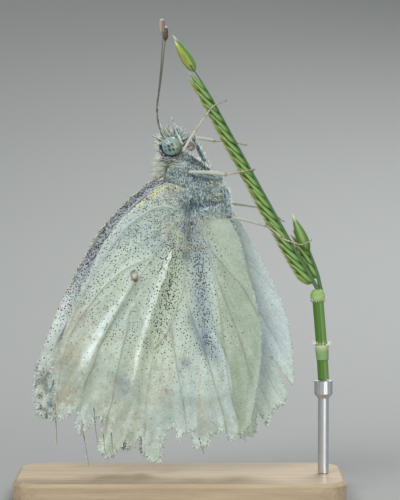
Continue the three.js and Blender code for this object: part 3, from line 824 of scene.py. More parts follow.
def hindwing_under_tint(flat):
    """Colours of the hindwing's underside."""
    r, a, d = reach_of(flat), flat[:, 0], flat[:, 1]

    def along(line, width):
        return near(flat, line, width)

    def cloud(size, seed):
        return value_noise(flat, size, seed)

    def streaks(size, seed):
        return value_noise(rays(flat), size, seed)

    # The root, the cell and the bands beside it, the leading edge, and the two lower corners.
    hinge = smooth_step(4.6, 3.2, r)
    colours = coloured(
        len(flat), (160, 174, 165),
        (smooth_step(8.0, 3.0, r), (146, 162, 160), 0.8),
        (along([(0.9, 2.0), (1.2, 4.5), (2.2, 8.5), (3.0, 11.6)], 1.3), (152, 164, 145), 0.8),
        (along([(-0.6, 1.5), (-0.9, 5.0), (-1.5, 9.0), (-2.0, 12.5)], 0.9), (136, 152, 153), 0.85),
        (along([(-0.1, 0.6), (0.0, 2.0), (0.25, 4.2)], 0.42), (84, 96, 102), 0.85),
        (hinge * smooth_step(-0.1, 0.5, cloud(0.4, 28)), (122, 128, 132), 0.6),
        (hinge * smooth_step(0.1, 0.6, cloud(0.34, 29)), (148, 148, 128), 0.5),
        (along([(2.6, -1.0), (5.5, 2.2), (8.2, 6.0), (10.6, 10.5)], 0.9), (157, 170, 160), 0.6),
        (along([(5.2, 1.1), (8.0, 4.6), (10.2, 8.6)], 0.6), (144, 157, 162), 0.6),
        (smooth_step(6.5, 9.5, a) * smooth_step(8.0, 12.0, d), (158, 166, 156), 0.6),
        (smooth_step(3.0, 1.0, a) * smooth_step(12.0, 16.0, d), (156, 172, 168), 0.7))
    # Painted light on the flanks of the creases, each with a painted shaded valley on either side.
    for number, knots in enumerate(PAINTED_CREASE_LIGHTS):
        line = np.array(knots)[:, [1, 0]]
        colours = over(colours, (along(line + [-0.75, 0.0], 0.42), (134, 147, 130), 0.6),
                       (along(line + [1.0, 0.0], 0.42), (142, 154, 138), 0.4),
                       (painted_crease_light(flat, knots, FLANK_SEED + number), (196, 209, 206), 0.95))
    # Wear towards the margin: brown streaks, dirt and white powder.
    powder = 0.9 * streaks(1.9, 24) + 0.5 * cloud(0.3, 23)
    colours = over(
        colours,
        (smooth_step(0.1, 0.8, streaks(2.2, 21)) * smooth_step(10.0, 17.0, r), (158, 150, 128), 0.28),
        (along([(9.8, 9.0), (10.8, 13.0), (11.4, 16.5)], 0.8) * (0.5 + 0.5 * streaks(1.1, 22)),
         (144, 134, 112), 0.6),
        (smooth_step(0.3, 0.9, cloud(0.55, 25)) * smooth_step(9.0, 15.0, r), (140, 142, 122), 0.35),
        (smooth_step(-0.1, 0.6, powder) * smooth_step(16.5, 20.5, r), (180, 194, 190), 0.55))
    dull = smooth_step(15.6, 18.0, r) + along([(7.4, 14.6), (7.7, 16.0)], 1.0)
    # A duller, greener margin, then painted blue shade, a darker painted shade and a painted lit edge beside
    # the fold.
    colours = over(
        colours * (1.0 - 0.16 * np.clip(dull, 0.0, 1.0)[:, None]),
        (smooth_step(0.3, 0.7, cloud(0.4, 27)) * smooth_step(17.5, 20.0, r), (126, 140, 130), 0.4),
        (along([(-0.8, 7.4), (-1.3, 9.8), (-1.5, 12.0), (-2.5, 13.4)], 0.75), (124, 140, 146), 0.6),
        (along([(-0.2, 9.8), (-0.9, 11.4), (-1.7, 13.0)], 0.42), (116, 130, 134), 0.75),
        (along(PANEL_EDGE[4:8] + [0.28, 0.0], 0.22), (164, 180, 182), 0.7))
    # The plain lobe beside the abdomen, with painted shade beside the fold and a painted shadow line along
    # the lobe's edge, paler past that edge.
    low = smooth_step(9.0, 12.0, d)
    plain = coloured(
        len(flat), (140, 154, 140),
        (smooth_step(8.0, 2.0, r), (144, 159, 147), 0.8),
        (along(PANEL_EDGE[6:] - [0.45, 0.0], 0.5), (127, 141, 122), 0.8),
        (beyond(flat, LOBE_EDGE + [0.1, 0.0], 0.12) * low, (146, 160, 150), 0.9),
        (along(LOBE_EDGE + [0.2, 0.0], 0.35) * low, (128, 142, 126), 0.7))
    plain = plain * (1.0 + 0.025 * streaks(2.5, 33)[:, None])
    lobe = past_panel(flat)[:, None]
    colours = weathered(flat, colours * (1.0 - lobe) + plain * lobe, 60)
    # Painted shade along the fold, the yellow line at the root and the pale rim that it runs in.
    colours = over(
        colours,
        (along(PANEL_EDGE[4:9] - [0.05, 0.0], 0.09), (112, 128, 118), 0.6),
        (along(YELLOW_LINE, 0.16) * smooth_step(-1.0, -0.05, cloud(0.24, 41)), (192, 182, 112), 0.95),
        (along([(7.6, 2.4), (5.9, 0.6), (4.9, -0.2), (4.0, -0.9)], 0.12), (190, 192, 166), 0.8),
        (along([(0.85, -1.95), (0.3, -1.7), (-0.2, -1.3)], 0.12), (170, 180, 162), 0.8))
    uneven = 0.8 + 0.3 * cloud(0.4, 51)
    for centre, half, look, strength in DULL_BLOTCHES:
        colours = over(colours, (spot(flat, centre, half) * uneven, look, strength))
    colours = vein_tint(HINDWING_VEINS, flat, colours, (112, 104, 82), 12.0)
    # The small brown ring, its dark dot, and the other brown specks.
    off = flat - [4.85, 6.0]
    ring = np.abs(np.hypot(off[:, 0], off[:, 1] * 0.72) - (0.27 + 0.07 * cloud(0.3, 52)))
    colours = over(colours, (bell(ring, 0.09), (92, 66, 40), 0.9),
                   (spot(flat, (4.8, 6.35), (0.17, 0.2)), (60, 40, 26), 0.9))
    for centre in BROWN_SPECKS:
        colours = over(colours, (spot(flat, centre, (0.12, 0.24), 0.4), (108, 94, 70), 0.6))
    return colours


def hindwing_upper_tint(flat):
    """Colours of the hindwing's upper side: plain bluish white."""
    margin = (smooth_step(15.0, 20.0, reach_of(flat)), (161, 175, 167), 0.9)
    colours = weathered(flat, coloured(len(flat), (160, 173, 173), margin), 70, 0.02)
    return vein_tint(HINDWING_VEINS, flat, colours, (134, 146, 138), 9.0)


def costa_distance(flat):
    """Distance of places on the forewing from its leading edge."""
    leading = np.array([(reach * math.sin(math.radians(at)), reach * math.cos(math.radians(at)))
                        for at, reach in FOREWING_MARGIN[:10]])
    return distance_to_line(flat, smooth_line(leading, 0.3))


def forewing_spots(flat, colours):
    """The forewing's two dark spots over colours of its places."""
    for centre, half in (((5.6, 16.6), (1.0, 1.1)), ((2.2, 14.2), (0.9, 1.0))):
        colours = over(colours, (spot(flat, centre, half), (58, 62, 62), 0.9))
    return colours


def forewing_under_tint(flat):
    """Colours of the forewing's underside: its costal strip and tip are what shows."""
    r, inset = reach_of(flat), costa_distance(flat)
    root = smooth_step(16.0, 10.0, r)
    broken = 0.8 + 0.3 * value_noise(np.stack([inset * 4.0, r], axis=1), 1.1, 85)
    dusk = smooth_step(0.5, 0.2, inset) * smooth_step(16.0, 9.0, r)
    inner_dusk = smooth_step(0.9, 1.15, inset) * smooth_step(13.0, 9.0, r)
    colours = coloured(
        len(flat), (170, 180, 176),
        (root * smooth_step(2.2, 0.9, inset), (138, 148, 154), 0.85),
        (root * bell(inset - 0.75, 0.24), (150, 157, 166), 0.7),
        (dusk * broken, (96, 100, 102), 0.8),
        (inner_dusk * broken, (114, 122, 128), 0.6))
    tip = smooth_step(19.8, 21.8, r) * smooth_step(8.0, 11.0, flat[:, 0])
    blotches = smooth_step(-0.5, 0.6, value_noise(flat, 0.42, 83) + 0.5 * value_noise(flat, 0.2, 84))
    colours = over(
        weathered(flat, colours, 80, 0.05),
        (bell(inset, 0.07), (160, 154, 132), 0.85),
        (tip, (148, 158, 150), 0.6),
        (tip * blotches, (92, 102, 96), 0.75))
    return vein_tint(FOREWING_VEINS, flat, forewing_spots(flat, colours), (122, 118, 100), 14.0)


def forewing_upper_tint(flat):
    """Colours of the forewing's upper side: white with a dusky tip and two dark spots."""
    r = reach_of(flat)
    dusky_tip = smooth_step(21.0, 23.0, r) * smooth_step(7.0, 11.0, flat[:, 0])
    colours = coloured(len(flat), (173, 187, 184), (dusky_tip, (78, 82, 82), 0.9))
    colours = over(forewing_spots(flat, colours), (smooth_step(5.0, 0.5, r), (100, 112, 118), 0.7))
    return vein_tint(FOREWING_VEINS, flat, weathered(flat, colours, 90, 0.03), (140, 142, 128), 9.0)


def hindwing_specks_per_area(flat):
    """Dark scales per square millimetre on the hindwing's underside."""
    r = reach_of(flat)
    density = 7.5 + 9.0 * smooth_step(9.0, 3.0, r)
    density += 12.0 * near(flat, [(0.9, 2.0), (1.2, 4.5), (2.0, 8.5), (2.9, 11.8)], 1.0)
    density += 13.0 * near(flat, [(-0.6, 1.0), (-0.9, 5.0), (-1.5, 9.0), (-1.9, 12.0)], 0.9)
    density += 7.0 * near(flat, [(2.6, 0.4), (5.5, 2.5), (8.4, 5.8), (9.8, 8.4)], 0.9)
    density += 9.0 * near(flat, [(3.2, -1.0), (1.8, -1.2), (0.6, -0.6)], 0.9)
    for number, knots in enumerate(PAINTED_CREASE_LIGHTS):
        density *= 1.0 - 0.6 * painted_crease_light(flat, knots, FLANK_SEED + number)
    density *= 1.0 - 0.86 * smooth_step(12.0, 18.0, r)
    density *= 1.0 + 0.3 * value_noise(flat, 1.5, 8)
    plain = past_panel(flat)
    sparse = 5.0 * near(flat, [(-2.9, 4.0), (-3.3, 8.0), (-3.9, 11.5)], 0.7) + 0.15
    return density * (1.0 - plain) + sparse * plain


def forewing_specks_per_area(flat):
    """Dark scales per square millimetre on the forewing's underside."""
    r, inset = reach_of(flat), costa_distance(flat)
    density = 28.0 * bell(inset - 0.4, 0.42) * smooth_step(17.0, 9.0, r)
    density += 14.0 * smooth_step(2.4, 0.8, inset) * (1.0 - 0.7 * smooth_step(13.0, 18.0, r))
    density += 14.0 * smooth_step(1.0, 1.3, inset) * smooth_step(13.0, 9.0, r)
    return (density + 1.2) * (1.0 + 0.3 * value_noise(flat, 1.1, 12))


def speck_size(flat):
    """How much bigger or smaller than usual the dark scales of the hindwing are at places on it."""
    r = reach_of(flat)
    size = 0.95 + 0.2 * near(flat, [(1.3, 4.5), (2.0, 8.5), (2.9, 11.8)], 1.0)
    size += 0.1 * near(flat, [(-0.9, 5.0), (-1.5, 9.0), (-1.9, 12.0)], 0.9)
    return size - 0.26 * smooth_step(11.0, 17.0, r) - 0.12 * smooth_step(4.0, 2.0, r)


def random_places(surface, per_area, rng):
    """Seeded random places on a wing's plane with the given density."""
    flat, triangles = surface.flat, surface.triangles
    a, b, c = (flat[triangles[:, k]] for k in range(3))
    area = np.abs(twice_area(flat, triangles)) / 2.0
    return random_on(flat, triangles, np.maximum(per_area((a + b + c) / 3.0), 0.0) * area, rng)[0]


def scatter(surface, per_area, seed):
    """Places on a wing with the given density, none too close to another. Returns them and the
    random numbers' source."""
    rng = np.random.default_rng(seed)
    crowd = random_places(surface, lambda flat: per_area(flat) * 2.0, rng)
    crowd = crowd[rng.permutation(len(crowd))]
    widest, far, evenness, sparsest = 0.6, 9.0, 0.6, 0.05
    gaps = np.minimum(evenness / np.sqrt(np.maximum(per_area(crowd), sparsest)), widest)
    gaps *= rng.uniform(0.8, 1.15, len(crowd))
    taken, kept = {}, []
    for number, ((a, d), gap) in enumerate(zip(crowd.tolist(), gaps.tolist())):
        column, row = int(a // widest), int(d // widest)
        closest = min(((a - other[0]) ** 2 + (d - other[1]) ** 2
                       for i in (-1, 0, 1) for j in (-1, 0, 1)
                       for other in taken.get((column + i, row + j), ())), default=far)
        if closest > gap * gap:
            taken.setdefault((column, row), []).append((a, d))
            kept.append(number)
    return crowd[kept], rng


# Corners of a scale, along and across it and up from the wing: a low roof, wider at its far end.
SCALE_SHAPE = np.array([(-0.5, -0.3, 0.0), (0.3, -0.5, 0.0), (0.5, 0.0, 0.0), (0.3, 0.5, 0.0),
                        (-0.5, 0.3, 0.0), (-0.35, 0.0, 0.6), (0.2, 0.0, 1.0)])
SCALE_FACES = [(0, 5, 6, 1), (1, 6, 2), (2, 6, 3), (3, 6, 5, 4), (4, 5, 0), (0, 1, 2, 3, 4)]


def scale_triangles():
    """A scale's faces cut into triangles, all turned outwards."""
    faces = []
    for face in SCALE_FACES:
        turned = face if len(face) < 5 else face[::-1]
        faces.extend((turned[0], turned[k], turned[k + 1]) for k in range(1, len(turned) - 1))
    return np.array(faces)[:, ::-1]


def lay_scales(name, surface, places, length, width, face, looks, material, growth=None):
    """Small solid scales on one face of a wing, pointing outwards along it. places come from
    scatter; face is 1 for the outer face and -1 for the inner one; looks are the colours to
    choose from."""
    flat, rng = places
    count, corners = len(flat), len(SCALE_SHAPE)
    height, sunk = 0.028, 0.004
    lift = face * (surface.membrane - sunk)
    normal = surface.normals(flat) * face
    root, along = surface.place(flat, lift), surface.heading(flat, flat, lift)
    across = np.cross(normal, along)
    spin = rng.normal(0.0, 0.35, count)
    turned = np.cos(spin)[:, None] * along + np.sin(spin)[:, None] * across
    across = np.cross(normal, turned)
    size = rng.uniform(0.65, 1.35, count) * (1.0 if growth is None else growth(flat))
    lengths, widths = length * size, width * size * rng.uniform(0.8, 1.2, count)
    tilt = rng.uniform(0.1, 0.35, count)
    ahead, aside, up = (SCALE_SHAPE[None, :, k:k + 1] for k in range(3))
    points = (root[:, None, :]
              + turned[:, None, :] * (ahead * lengths[:, None, None])
              + across[:, None, :] * (aside * widths[:, None, None])
              + normal[:, None, :] * (up * height + (ahead + 0.5) * (tilt * lengths)[:, None, None] * 0.4))
    faces = scale_triangles()[None, :, :] + (np.arange(count) * corners)[:, None, None]
    tint = looks[rng.integers(0, len(looks), count)]
    if growth is not None:
        tint = over(tint, (smooth_step(1.0, 0.6, growth(flat)), (84, 86, 74), 0.7))
    uv = np.repeat(surface.bake_uv(flat, count), corners, axis=0)
    uv += np.tile(SCALE_SHAPE[:, :2] * 0.003, (count, 1))
    mesh_object(name, points.reshape(-1, 3), faces.reshape(-1, 3), material, (),
                np.repeat(tint, corners, axis=0), uv, smooth=False)


WING_LIFT = np.array([1.36, 1.32, 1.31])  # the wings' pale powder under studio light
# Of each kind: hinge, margin, start of the membrane, veins, creases, distance from the midline,
# and the colours of the under and the upper side.
WING_KINDS = {
    "hindwing": (HINDWING_HINGE, HINDWING_MARGIN, 0.1, HINDWING_VEINS, HINDWING_CREASES,
                 hindwing_middle, hindwing_under_tint, hindwing_upper_tint),
    "forewing": (FOREWING_HINGE, FOREWING_MARGIN, 0.9, FOREWING_VEINS, [],
                 forewing_middle, forewing_under_tint, forewing_upper_tint),
}


def make_wing(name, material):
    """Membrane of a wing. Returns its surface, for what lies on it."""
    kind, side = name.split("_")
    hinge, margin, root, veins, creases, middle, under_tint, upper_tint = WING_KINDS[kind]
    wing = Wing(side, hinge, margin, root, WING_DROPS.get(name, 0.0), TEARS[name])
    surface = WingSurface(wing, veins, creases, middle)
    points, faces, flat = surface.solid()
    tint = np.vstack([under_tint(surface.flat), upper_tint(surface.flat)])
    piece = mesh_object(f"{name}_membrane", points, faces, material, (name,),
                        np.minimum(tint * WING_LIFT, 0.97), surface.bake_uv(flat, len(surface.flat)))
    streak_place = np.zeros((len(flat), 3), np.float32)
    streak_place[:, :2] = rays(flat)
    layer = piece.data.attributes.new("rays", "FLOAT_VECTOR", "POINT")
    layer.data.foreach_set("vector", streak_place.ravel())
    return surface


# Bare veins that stand out past the torn membrane of the right hindwing: x and z of their ends.
BARE_VEINS = [((-8.91, 6.6), (-8.36, 2.75)), ((-7.82, 7.8), (-7.55, 4.9)), ((-6.98, 5.6), (-6.85, 3.8)),
              ((-6.25, 5.6), (-6.1, 3.4)), ((-11.35, 8.2), (-11.27, 4.85)), ((1.78, 5.2), (2.2, 3.9))]


def build_bare_veins(surface, material, hair):
    """Stubs of vein with scraps of membrane still on them."""
    rng = np.random.default_rng(61)
    bundle, coat = Bundle(), Coat(rng)
    part = shares(26)
    scraps_per_length = 26

    def look(part, turn):
        return coloured(len(part), (116, 114, 86), (part, (146, 140, 108), 0.9))

    for top, foot in BARE_VEINS:
        start, end = (np.array(HINDWING_HINGE) - place for place in (top, foot))
        run = end - start
        flat = start + np.linspace(-0.12, 1.0, len(part))[:, None] * run
        flat[:, 0] += 0.05 * value_noise(flat, 1.6, 3) * part
        radius = 0.062 - 0.03 * part + 0.006 * value_noise(flat, 0.35, 4)
        radius[-1] = 0.012
        tinted_tube(bundle, surface.place(flat), radius, look, 9)
        count = int(np.linalg.norm(run) * scraps_per_length)
        at = rng.random(count) ** 1.6
        places = start + at[:, None] * run
        out = unit(rng.normal(size=(count, 3)) * [1.0, 0.6, 1.0])
        ways = unit(out + np.array([0.0, 0.0, -0.9]))
        looks = choose(rng, count, tones((186, 196, 190), (160, 172, 160), (140, 140, 112)), [3, 3, 1])
        coat.grow(surface.place(places), ways, out, 0.17 * (1.15 - at), 0.045, looks,
                  surface.bake_uv(places, count))
    bundle.piece("hindwing_right_bare_veins", "wing", material)
    coat.piece("hindwing_right_vein_scraps", "wing", hair)


def margin_fringe(name, surface, worn_from, material, seed):
    """Ragged fibres and scales along the worn margin, short even ones along the whole edges."""
    rng = np.random.default_rng(seed)
    edge = surface.edge
    step = np.roll(edge, -1, axis=0) - edge
    outward = unit(np.stack([step[:, 1], -step[:, 0]], axis=1))
    inside = inside_polygon(edge + step / 2 + outward * 0.03, edge)
    outward = np.where(inside[:, None], -outward, outward)
    r = reach_of(edge)
    worn = smooth_step(worn_from - 1.5, worn_from, r) * smooth_step(-17.0, -12.0, angle_of(edge))
    counts = rng.poisson(np.linalg.norm(step, axis=1) * (9.0 + 34.0 * worn) * (r > 1.5))
    picked = np.repeat(np.arange(len(edge)), counts)
    count = len(picked)
    inward = rng.random(count) ** 2.0 * 0.4 * worn[picked] + 0.02
    flat = edge[picked] + step[picked] * rng.random((count, 1)) - outward[picked] * inward[:, None]
    away = outward[picked] * 0.9 + unit(flat) * 0.7 + rng.normal(0.0, 0.45, (count, 2))
    root = surface.place(flat, surface.membrane * rng.choice([-0.8, 0.8], count))
    aside = np.array([0.0, 1.0, 0.0]) * rng.normal(0.0, 0.22, (count, 1))
    ways = unit(surface.heading(flat, away) + aside)
    reach = 0.09 + 0.32 * worn[picked] * rng.random(count) ** 1.8
    # The two darkest fibres are painted shade in the gaps of the ragged edge.
    fibres = tones((196, 210, 206), (176, 190, 184), (150, 158, 142), (112, 124, 112), (84, 92, 82))
    looks = choose(rng, count, fibres, [6, 4, 2, 1.5, 0.8])
    coat = Coat(rng)
    coat.grow(root, ways, surface.normals(flat), reach, 0.034, looks, surface.bake_uv(flat, count), 0.4)
    coat.piece(name, "wing", material)


def root_hair(name, surface, material, seed):
    """Hair over the base of the hindwing: a close pepper-and-salt cover, longer hair that runs
    out from the thorax, and hair that stands up across the edge beside the abdomen."""
    pale = tones((152, 172, 178), (190, 203, 202), (128, 146, 150), (172, 182, 164))
    rng = np.random.default_rng(seed)
    coat = Coat(rng)

    def cover(flat):
        r = np.hypot(flat[:, 0] - 0.6, (flat[:, 1] + 0.5) * 1.1)
        return 100.0 * np.exp(-(r / 2.5) ** 4)

    def long(flat):
        r = reach_of(flat)
        beside = smooth_step(35.0, -10.0, angle_of(flat))
        return 60.0 * bell(r, 1.0) + 30.0 * beside * np.exp(-(r / 1.7) ** 4)

    def top(flat):
        return 150.0 * smooth_step(0.9, -0.2, flat[:, 1]) * (flat[:, 0] < 0.3)

    def tuft(flat):
        return 170.0 * spot(flat, (-0.15, -0.35), (0.55, 0.6))

    def add(density, length, lift, down, dark_share, width=0.03):
        flat = random_places(surface, density, rng)
        count = len(flat)
        normal = surface.normals(flat)
        lie = unit(surface.heading(flat, flat) * 0.5 + np.asarray(down))
        tilt = np.radians(rng.uniform(*lift, (count, 1)))
        ways = unit(lie * np.cos(tilt) + normal * np.sin(tilt) + rng.normal(0.0, 0.28, (count, 3)))
        looks = choose(rng, count, pale, [4, 4, 3, 2]) * rng.uniform(0.75, 1.25, (count, 1))
        dark = rng.random(count) < dark_share + 0.5 * spot(flat, (0.1, 1.7), (0.5, 1.4))
        looks = np.where(dark[:, None], choose(rng, count, DARK_HAIR, [4, 2, 1]), looks)
        coat.grow(surface.place(flat, surface.membrane * 0.5), ways, normal, length, width, looks,
                  surface.bake_uv(flat, count))

    add(cover, 0.15, (4.0, 22.0), (0.0, 0.0, -0.4), 0.32, 0.034)
    add(long, 0.3, (8.0, 38.0), (0.1, 0.0, -1.0), 0.2)
    add(top, 0.26, (8.0, 38.0), (0.1, 0.0, -1.0), 0.25)
    add(top, 0.4, (10.0, 50.0), (-0.1, 0.0, 1.4), 0.22)
    add(tuft, 0.34, (10.0, 45.0), (0.3, 0.0, -0.2), 0.04)
    coat.piece(name, "wing", material)


def wing_powder():
    """Wing membrane: its painted colours under a mosaic of fine scales and streaks along the rays."""
    finish = Finish("wing_membrane", roughness=0.66, specular=0.3, sheen=0.1, through=0.24)
    streaks = finish.noise(1.3 * MM, 3.0, 0.6, finish.attribute("rays", "Vector"))
    grain = finish.noise(5.0, 3.0, 0.7)
    colour = finish.scaled(finish.attribute("tint", "Color"), streaks, 0.86, 1.13)
    colour = finish.scaled(colour, finish.cells(9.0, "Color"), 0.86, 1.13)
    finish.set_colour(finish.scaled(colour, grain, 0.84, 1.16))
    finish.bump(streaks, 0.05)
    finish.bump(grain, 0.035)
    return finish.made


# Of each side's wings: seed of their scales and hair, and where the hindwing's wear begins.
WING_WEAR = {"right": (40, 17.5), "left": (50, 20.0)}


def build_wings(hair):
    """Four wings with their scales, fringes and hair."""
    membrane = wing_powder()
    chips = tinted("wing_scales", (0.85, 1.15), roughness=0.6, specular=0.3).made
    dark = tones((28, 31, 28), (36, 39, 34), (50, 53, 47), (36, 42, 47), (64, 66, 58))
    faint = tones((108, 126, 128), (120, 138, 138))
    for side, (seed, worn_from) in WING_WEAR.items():
        hind, fore = (make_wing(f"{kind}_{side}", membrane) for kind in WING_KINDS)
        lay_scales(f"hindwing_{side}_dark_scales", hind, scatter(hind, hindwing_specks_per_area, seed),
                   0.125, 0.105, 1, dark, chips, speck_size)
        lay_scales(f"forewing_{side}_dark_scales", fore, scatter(fore, forewing_specks_per_area, seed + 1),
                   0.13, 0.1, 1, dark[:4], chips)
        upper = scatter(hind, lambda flat: 0.9 + 0.04 * hindwing_specks_per_area(flat), seed + 2)
        lay_scales(f"hindwing_{side}_upper_specks", hind, upper, 0.1, 0.08, -1, faint, chips)
        margin_fringe(f"hindwing_{side}_fringe", hind, worn_from, hair, seed + 3)
        margin_fringe(f"forewing_{side}_fringe", fore, 21.0, hair, seed + 4)
        root_hair(f"hindwing_{side}_root_hair", hind, hair, seed + 5)
        if side == "right":
            build_bare_veins(hind, membrane, hair)


# ---------------------------------------------------------------- body skin

COAT_DEPTH = {"head": 0.22, "thorax": 0.34, "abdomen": 0.12}
COXAE = {"fore": ((0.9, 0.6, 30.0), (2.6, 0.85, 29.8)),
         "mid": ((2.0, 0.8, 28.9), (3.8, 1.15, 28.9)),
         "hind": ((2.8, 0.8, 27.6), (4.15, 1.15, 28.05))}


def mirrored(points, side):
    """Points whose y is a distance from the midline, put on the named side."""
    return np.asarray(points, float) * [1.0, SIDES[side], 1.0]


def body_loft(stations, inset):
    """Closed tube of elliptic rings through the stations, drawn in by the depth of the coat."""
    sides, thinnest_deep, thinnest_wide = 40, 0.15, 0.12
    along = smooth_line(stations, 0.25)
    middles = np.stack([along[:, 0], np.zeros(len(along)), along[:, 1]], axis=1)
    forward = unit(np.gradient(middles, axis=0))
    across = np.stack([-forward[:, 2], np.zeros(len(along)), forward[:, 0]], axis=1)
    deep = np.maximum(along[:, 2] - inset, thinnest_deep)
    wide = np.maximum(along[:, 3] - inset, thinnest_wide)
    turns = angles_round(sides)
    ring = (np.cos(turns)[None, :, None] * (across * deep[:, None])[:, None, :]
            + np.sin(turns)[None, :, None] * (np.array([0.0, -1.0, 0.0]) * wide[:, None])[:, None, :])
    points = (middles[:, None, :] + ring).reshape(-1, 3)
    last = (len(along) - 1) * sides
    caps = [list(range(sides))[::-1], list(range(last, last + sides))]
    return points, caps + wall_faces(len(along), sides)


def fused(shapes, voxel, rounds):
    """One smooth closed surface round closed shapes that overlap. Works in millimetres."""
    bundle = Bundle()
    for points, faces in shapes:
        bundle.add(points, faces, (1.0, 1.0, 1.0))
    mesh = bpy.data.meshes.new("shapes_to_fuse")
    mesh.from_pydata(np.vstack(bundle.points).tolist(), [], bundle.faces)
    thing = bpy.data.objects.new("shapes_to_fuse", mesh)
    bpy.context.scene.collection.objects.link(thing)
    fuse = thing.modifiers.new("fuse", "REMESH")
    fuse.mode = "VOXEL"
    fuse.voxel_size = voxel
    relax = thing.modifiers.new("relax", "SMOOTH")
    relax.factor = 0.5
    relax.iterations = rounds
    solved = thing.evaluated_get(bpy.context.evaluated_depsgraph_get())
    result = solved.to_mesh()
    points = np.empty(len(result.vertices) * 3, np.float32)
    result.vertices.foreach_get("co", points)
    corners = np.empty(len(result.loops), np.int32)
    result.loops.foreach_get("vertex_index", corners)
    solved.to_mesh_clear()
    bpy.data.objects.remove(thing)
    bpy.data.meshes.remove(mesh)
    return points.reshape(-1, 3).astype(float), corners.reshape(-1, 4)


def body_mark(points, centre, half):
    """1 at a place on either flank, fading out past its half sizes in x and z."""
    off = (points[:, [0, 2]] - np.asarray(centre)) / np.asarray(half)
    return np.exp(-(off ** 2).sum(axis=1))


def body_tint(points):
    """Ground colour of skin and coat: blue-grey flanks, pale collar and head, pale tail end."""
    x, z = points[:, 0], points[:, 2]
    return coloured(
        len(points), (114, 142, 154),
        (smooth_step(1.6, 3.2, x), (114, 138, 138), 0.8),
        (smooth_step(25.6, 24.4, z), (150, 162, 154), 1.0),
        (smooth_step(-0.9, -1.5, x) * smooth_step(28.2, 29.2, z), (156, 166, 156), 1.0),
        (smooth_step(30.7, 31.3, z), (156, 170, 162), 1.0),
        (body_mark(points, (-0.7, 30.3), (0.6, 0.5)), (118, 128, 116), 0.7),
        (body_mark(points, (0.1, 30.3), (0.62, 0.42)), (164, 184, 184), 1.0),
        (body_mark(points, (-0.75, 30.25), (0.42, 0.2)), (186, 180, 112), 0.8))


def body_darkness(points):
    """Share of the locks that are dark."""
    x, z = points[:, 0], points[:, 2]
    share = 0.2 + 0.45 * body_mark(points, (2.6, 26.85), (0.5, 0.34))
    share = share + 0.45 * body_mark(points, (0.2, 28.4), (0.35, 0.35))
    # More dark locks beside the collar's edge: painted shade between the collar and the neck.
    share = share + 0.5 * body_mark(points, (-1.25, 30.2), (0.3, 0.6))
    share = share * (1.0 - 0.75 * smooth_step(-1.1, -1.6, x) * smooth_step(28.2, 29.2, z))
    share = share * (1.0 - 0.8 * body_mark(points, (0.1, 30.3), (0.62, 0.42)))
    return share * smooth_step(24.0, 26.0, z) + 0.1


def body_unwrap(points):
    """Place on an unwrap of the body: turn about its axis across, height up."""
    z = points[:, 2]
    middles, heights = np.array(THORAX_STATIONS + ABDOMEN_STATIONS)[::-1, :2].T
    axis = np.interp(z, heights, middles)
    turn = np.arctan2(points[:, 1], points[:, 0] - axis) / FULL_TURN + 0.5
    return np.stack([0.02 + 0.96 * turn, 0.02 + 0.96 * (z - 15.0) / 20.0], axis=1)


# Faces of a lock: its foot, the sides up to its bend, and the sides up to its tip.
LOCK_FACES = np.array([(0, 2, 1), (0, 1, 4), (0, 4, 3), (1, 2, 5), (1, 5, 4), (2, 0, 3), (2, 3, 5),
                       (3, 4, 6), (4, 5, 6), (5, 3, 6)])
LOCK_POINTS = 7


def locks(roots, ways, bends, lengths, widths, flat_to):
    """Closed tapered locks of hair: three-sided, bent once, flattened towards a surface."""
    flatness, sunk, bend_width = 0.6, 0.05, 0.8
    across = unit(np.cross(ways, flat_to))
    upward = np.cross(across, ways)
    base = roots - ways * sunk
    middle = roots + (ways * 0.5 + bends * 0.18) * lengths[:, None]
    points = np.empty((len(roots), LOCK_POINTS, 3))
    for k in range(3):
        turn = FULL_TURN * k / 3 + math.pi / 2
        spread_out = across * math.cos(turn) + upward * (math.sin(turn) * flatness)
        points[:, k] = base + spread_out * widths[:, None]
        points[:, 3 + k] = middle + spread_out * widths[:, None] * bend_width
    points[:, 6] = roots + (ways * 0.94 + bends * 0.75) * lengths[:, None]
    return points


FINE = 0.026  # width of the finer locks


class Coat:
    """Locks of hair gathered into one piece."""

    # A lock's own little patch of the unwrap that the looks are baked on.
    patch = np.array([(0, 0), (1, 0), (0, 1), (2, 0), (2, 1), (2, 2), (3, 3)]) * 0.001

    def __init__(self, rng):
        self.rng = rng
        self.points, self.tints, self.uvs = [], [], []

    def grow(self, roots, ways, normals, length, width, looks, unwrap, bend=0.25, end_shade=1.1):
        """A lock at each root, coloured a little darker at its foot, with its place on an unwrap."""
        rng, count = self.rng, len(roots)
        if count == 0:
            return
        lengths = length * rng.uniform(0.6, 1.3, count)
        widths = width * rng.uniform(0.75, 1.25, count)
        bends = unit(rng.normal(size=(count, 3)) - normals * 0.4) * bend * rng.random((count, 1))
        self.points.append(locks(roots, ways, bends, lengths, widths, normals).reshape(-1, 3))
        shade = np.array([0.8, 0.8, 0.8, 1.0, 1.0, 1.0, end_shade])
        tints = looks[:, None, :] * shade[None, :, None] * rng.uniform(1.1, 1.45, (count, 1, 1))
        self.tints.append(np.clip(tints, 0.0, 1.0).reshape(-1, 3))
        self.uvs.append((unwrap[:, None, :] + self.patch[None, :, :]).reshape(-1, 2))

    def piece(self, name, slot, material):
        points = np.vstack(self.points)
        firsts = np.arange(0, len(points), LOCK_POINTS)
        faces = (LOCK_FACES[None, :, :] + firsts[:, None, None]).reshape(-1, 3)
        mesh_object(name, points, faces, material, (), np.vstack(self.tints), np.vstack(self.uvs))


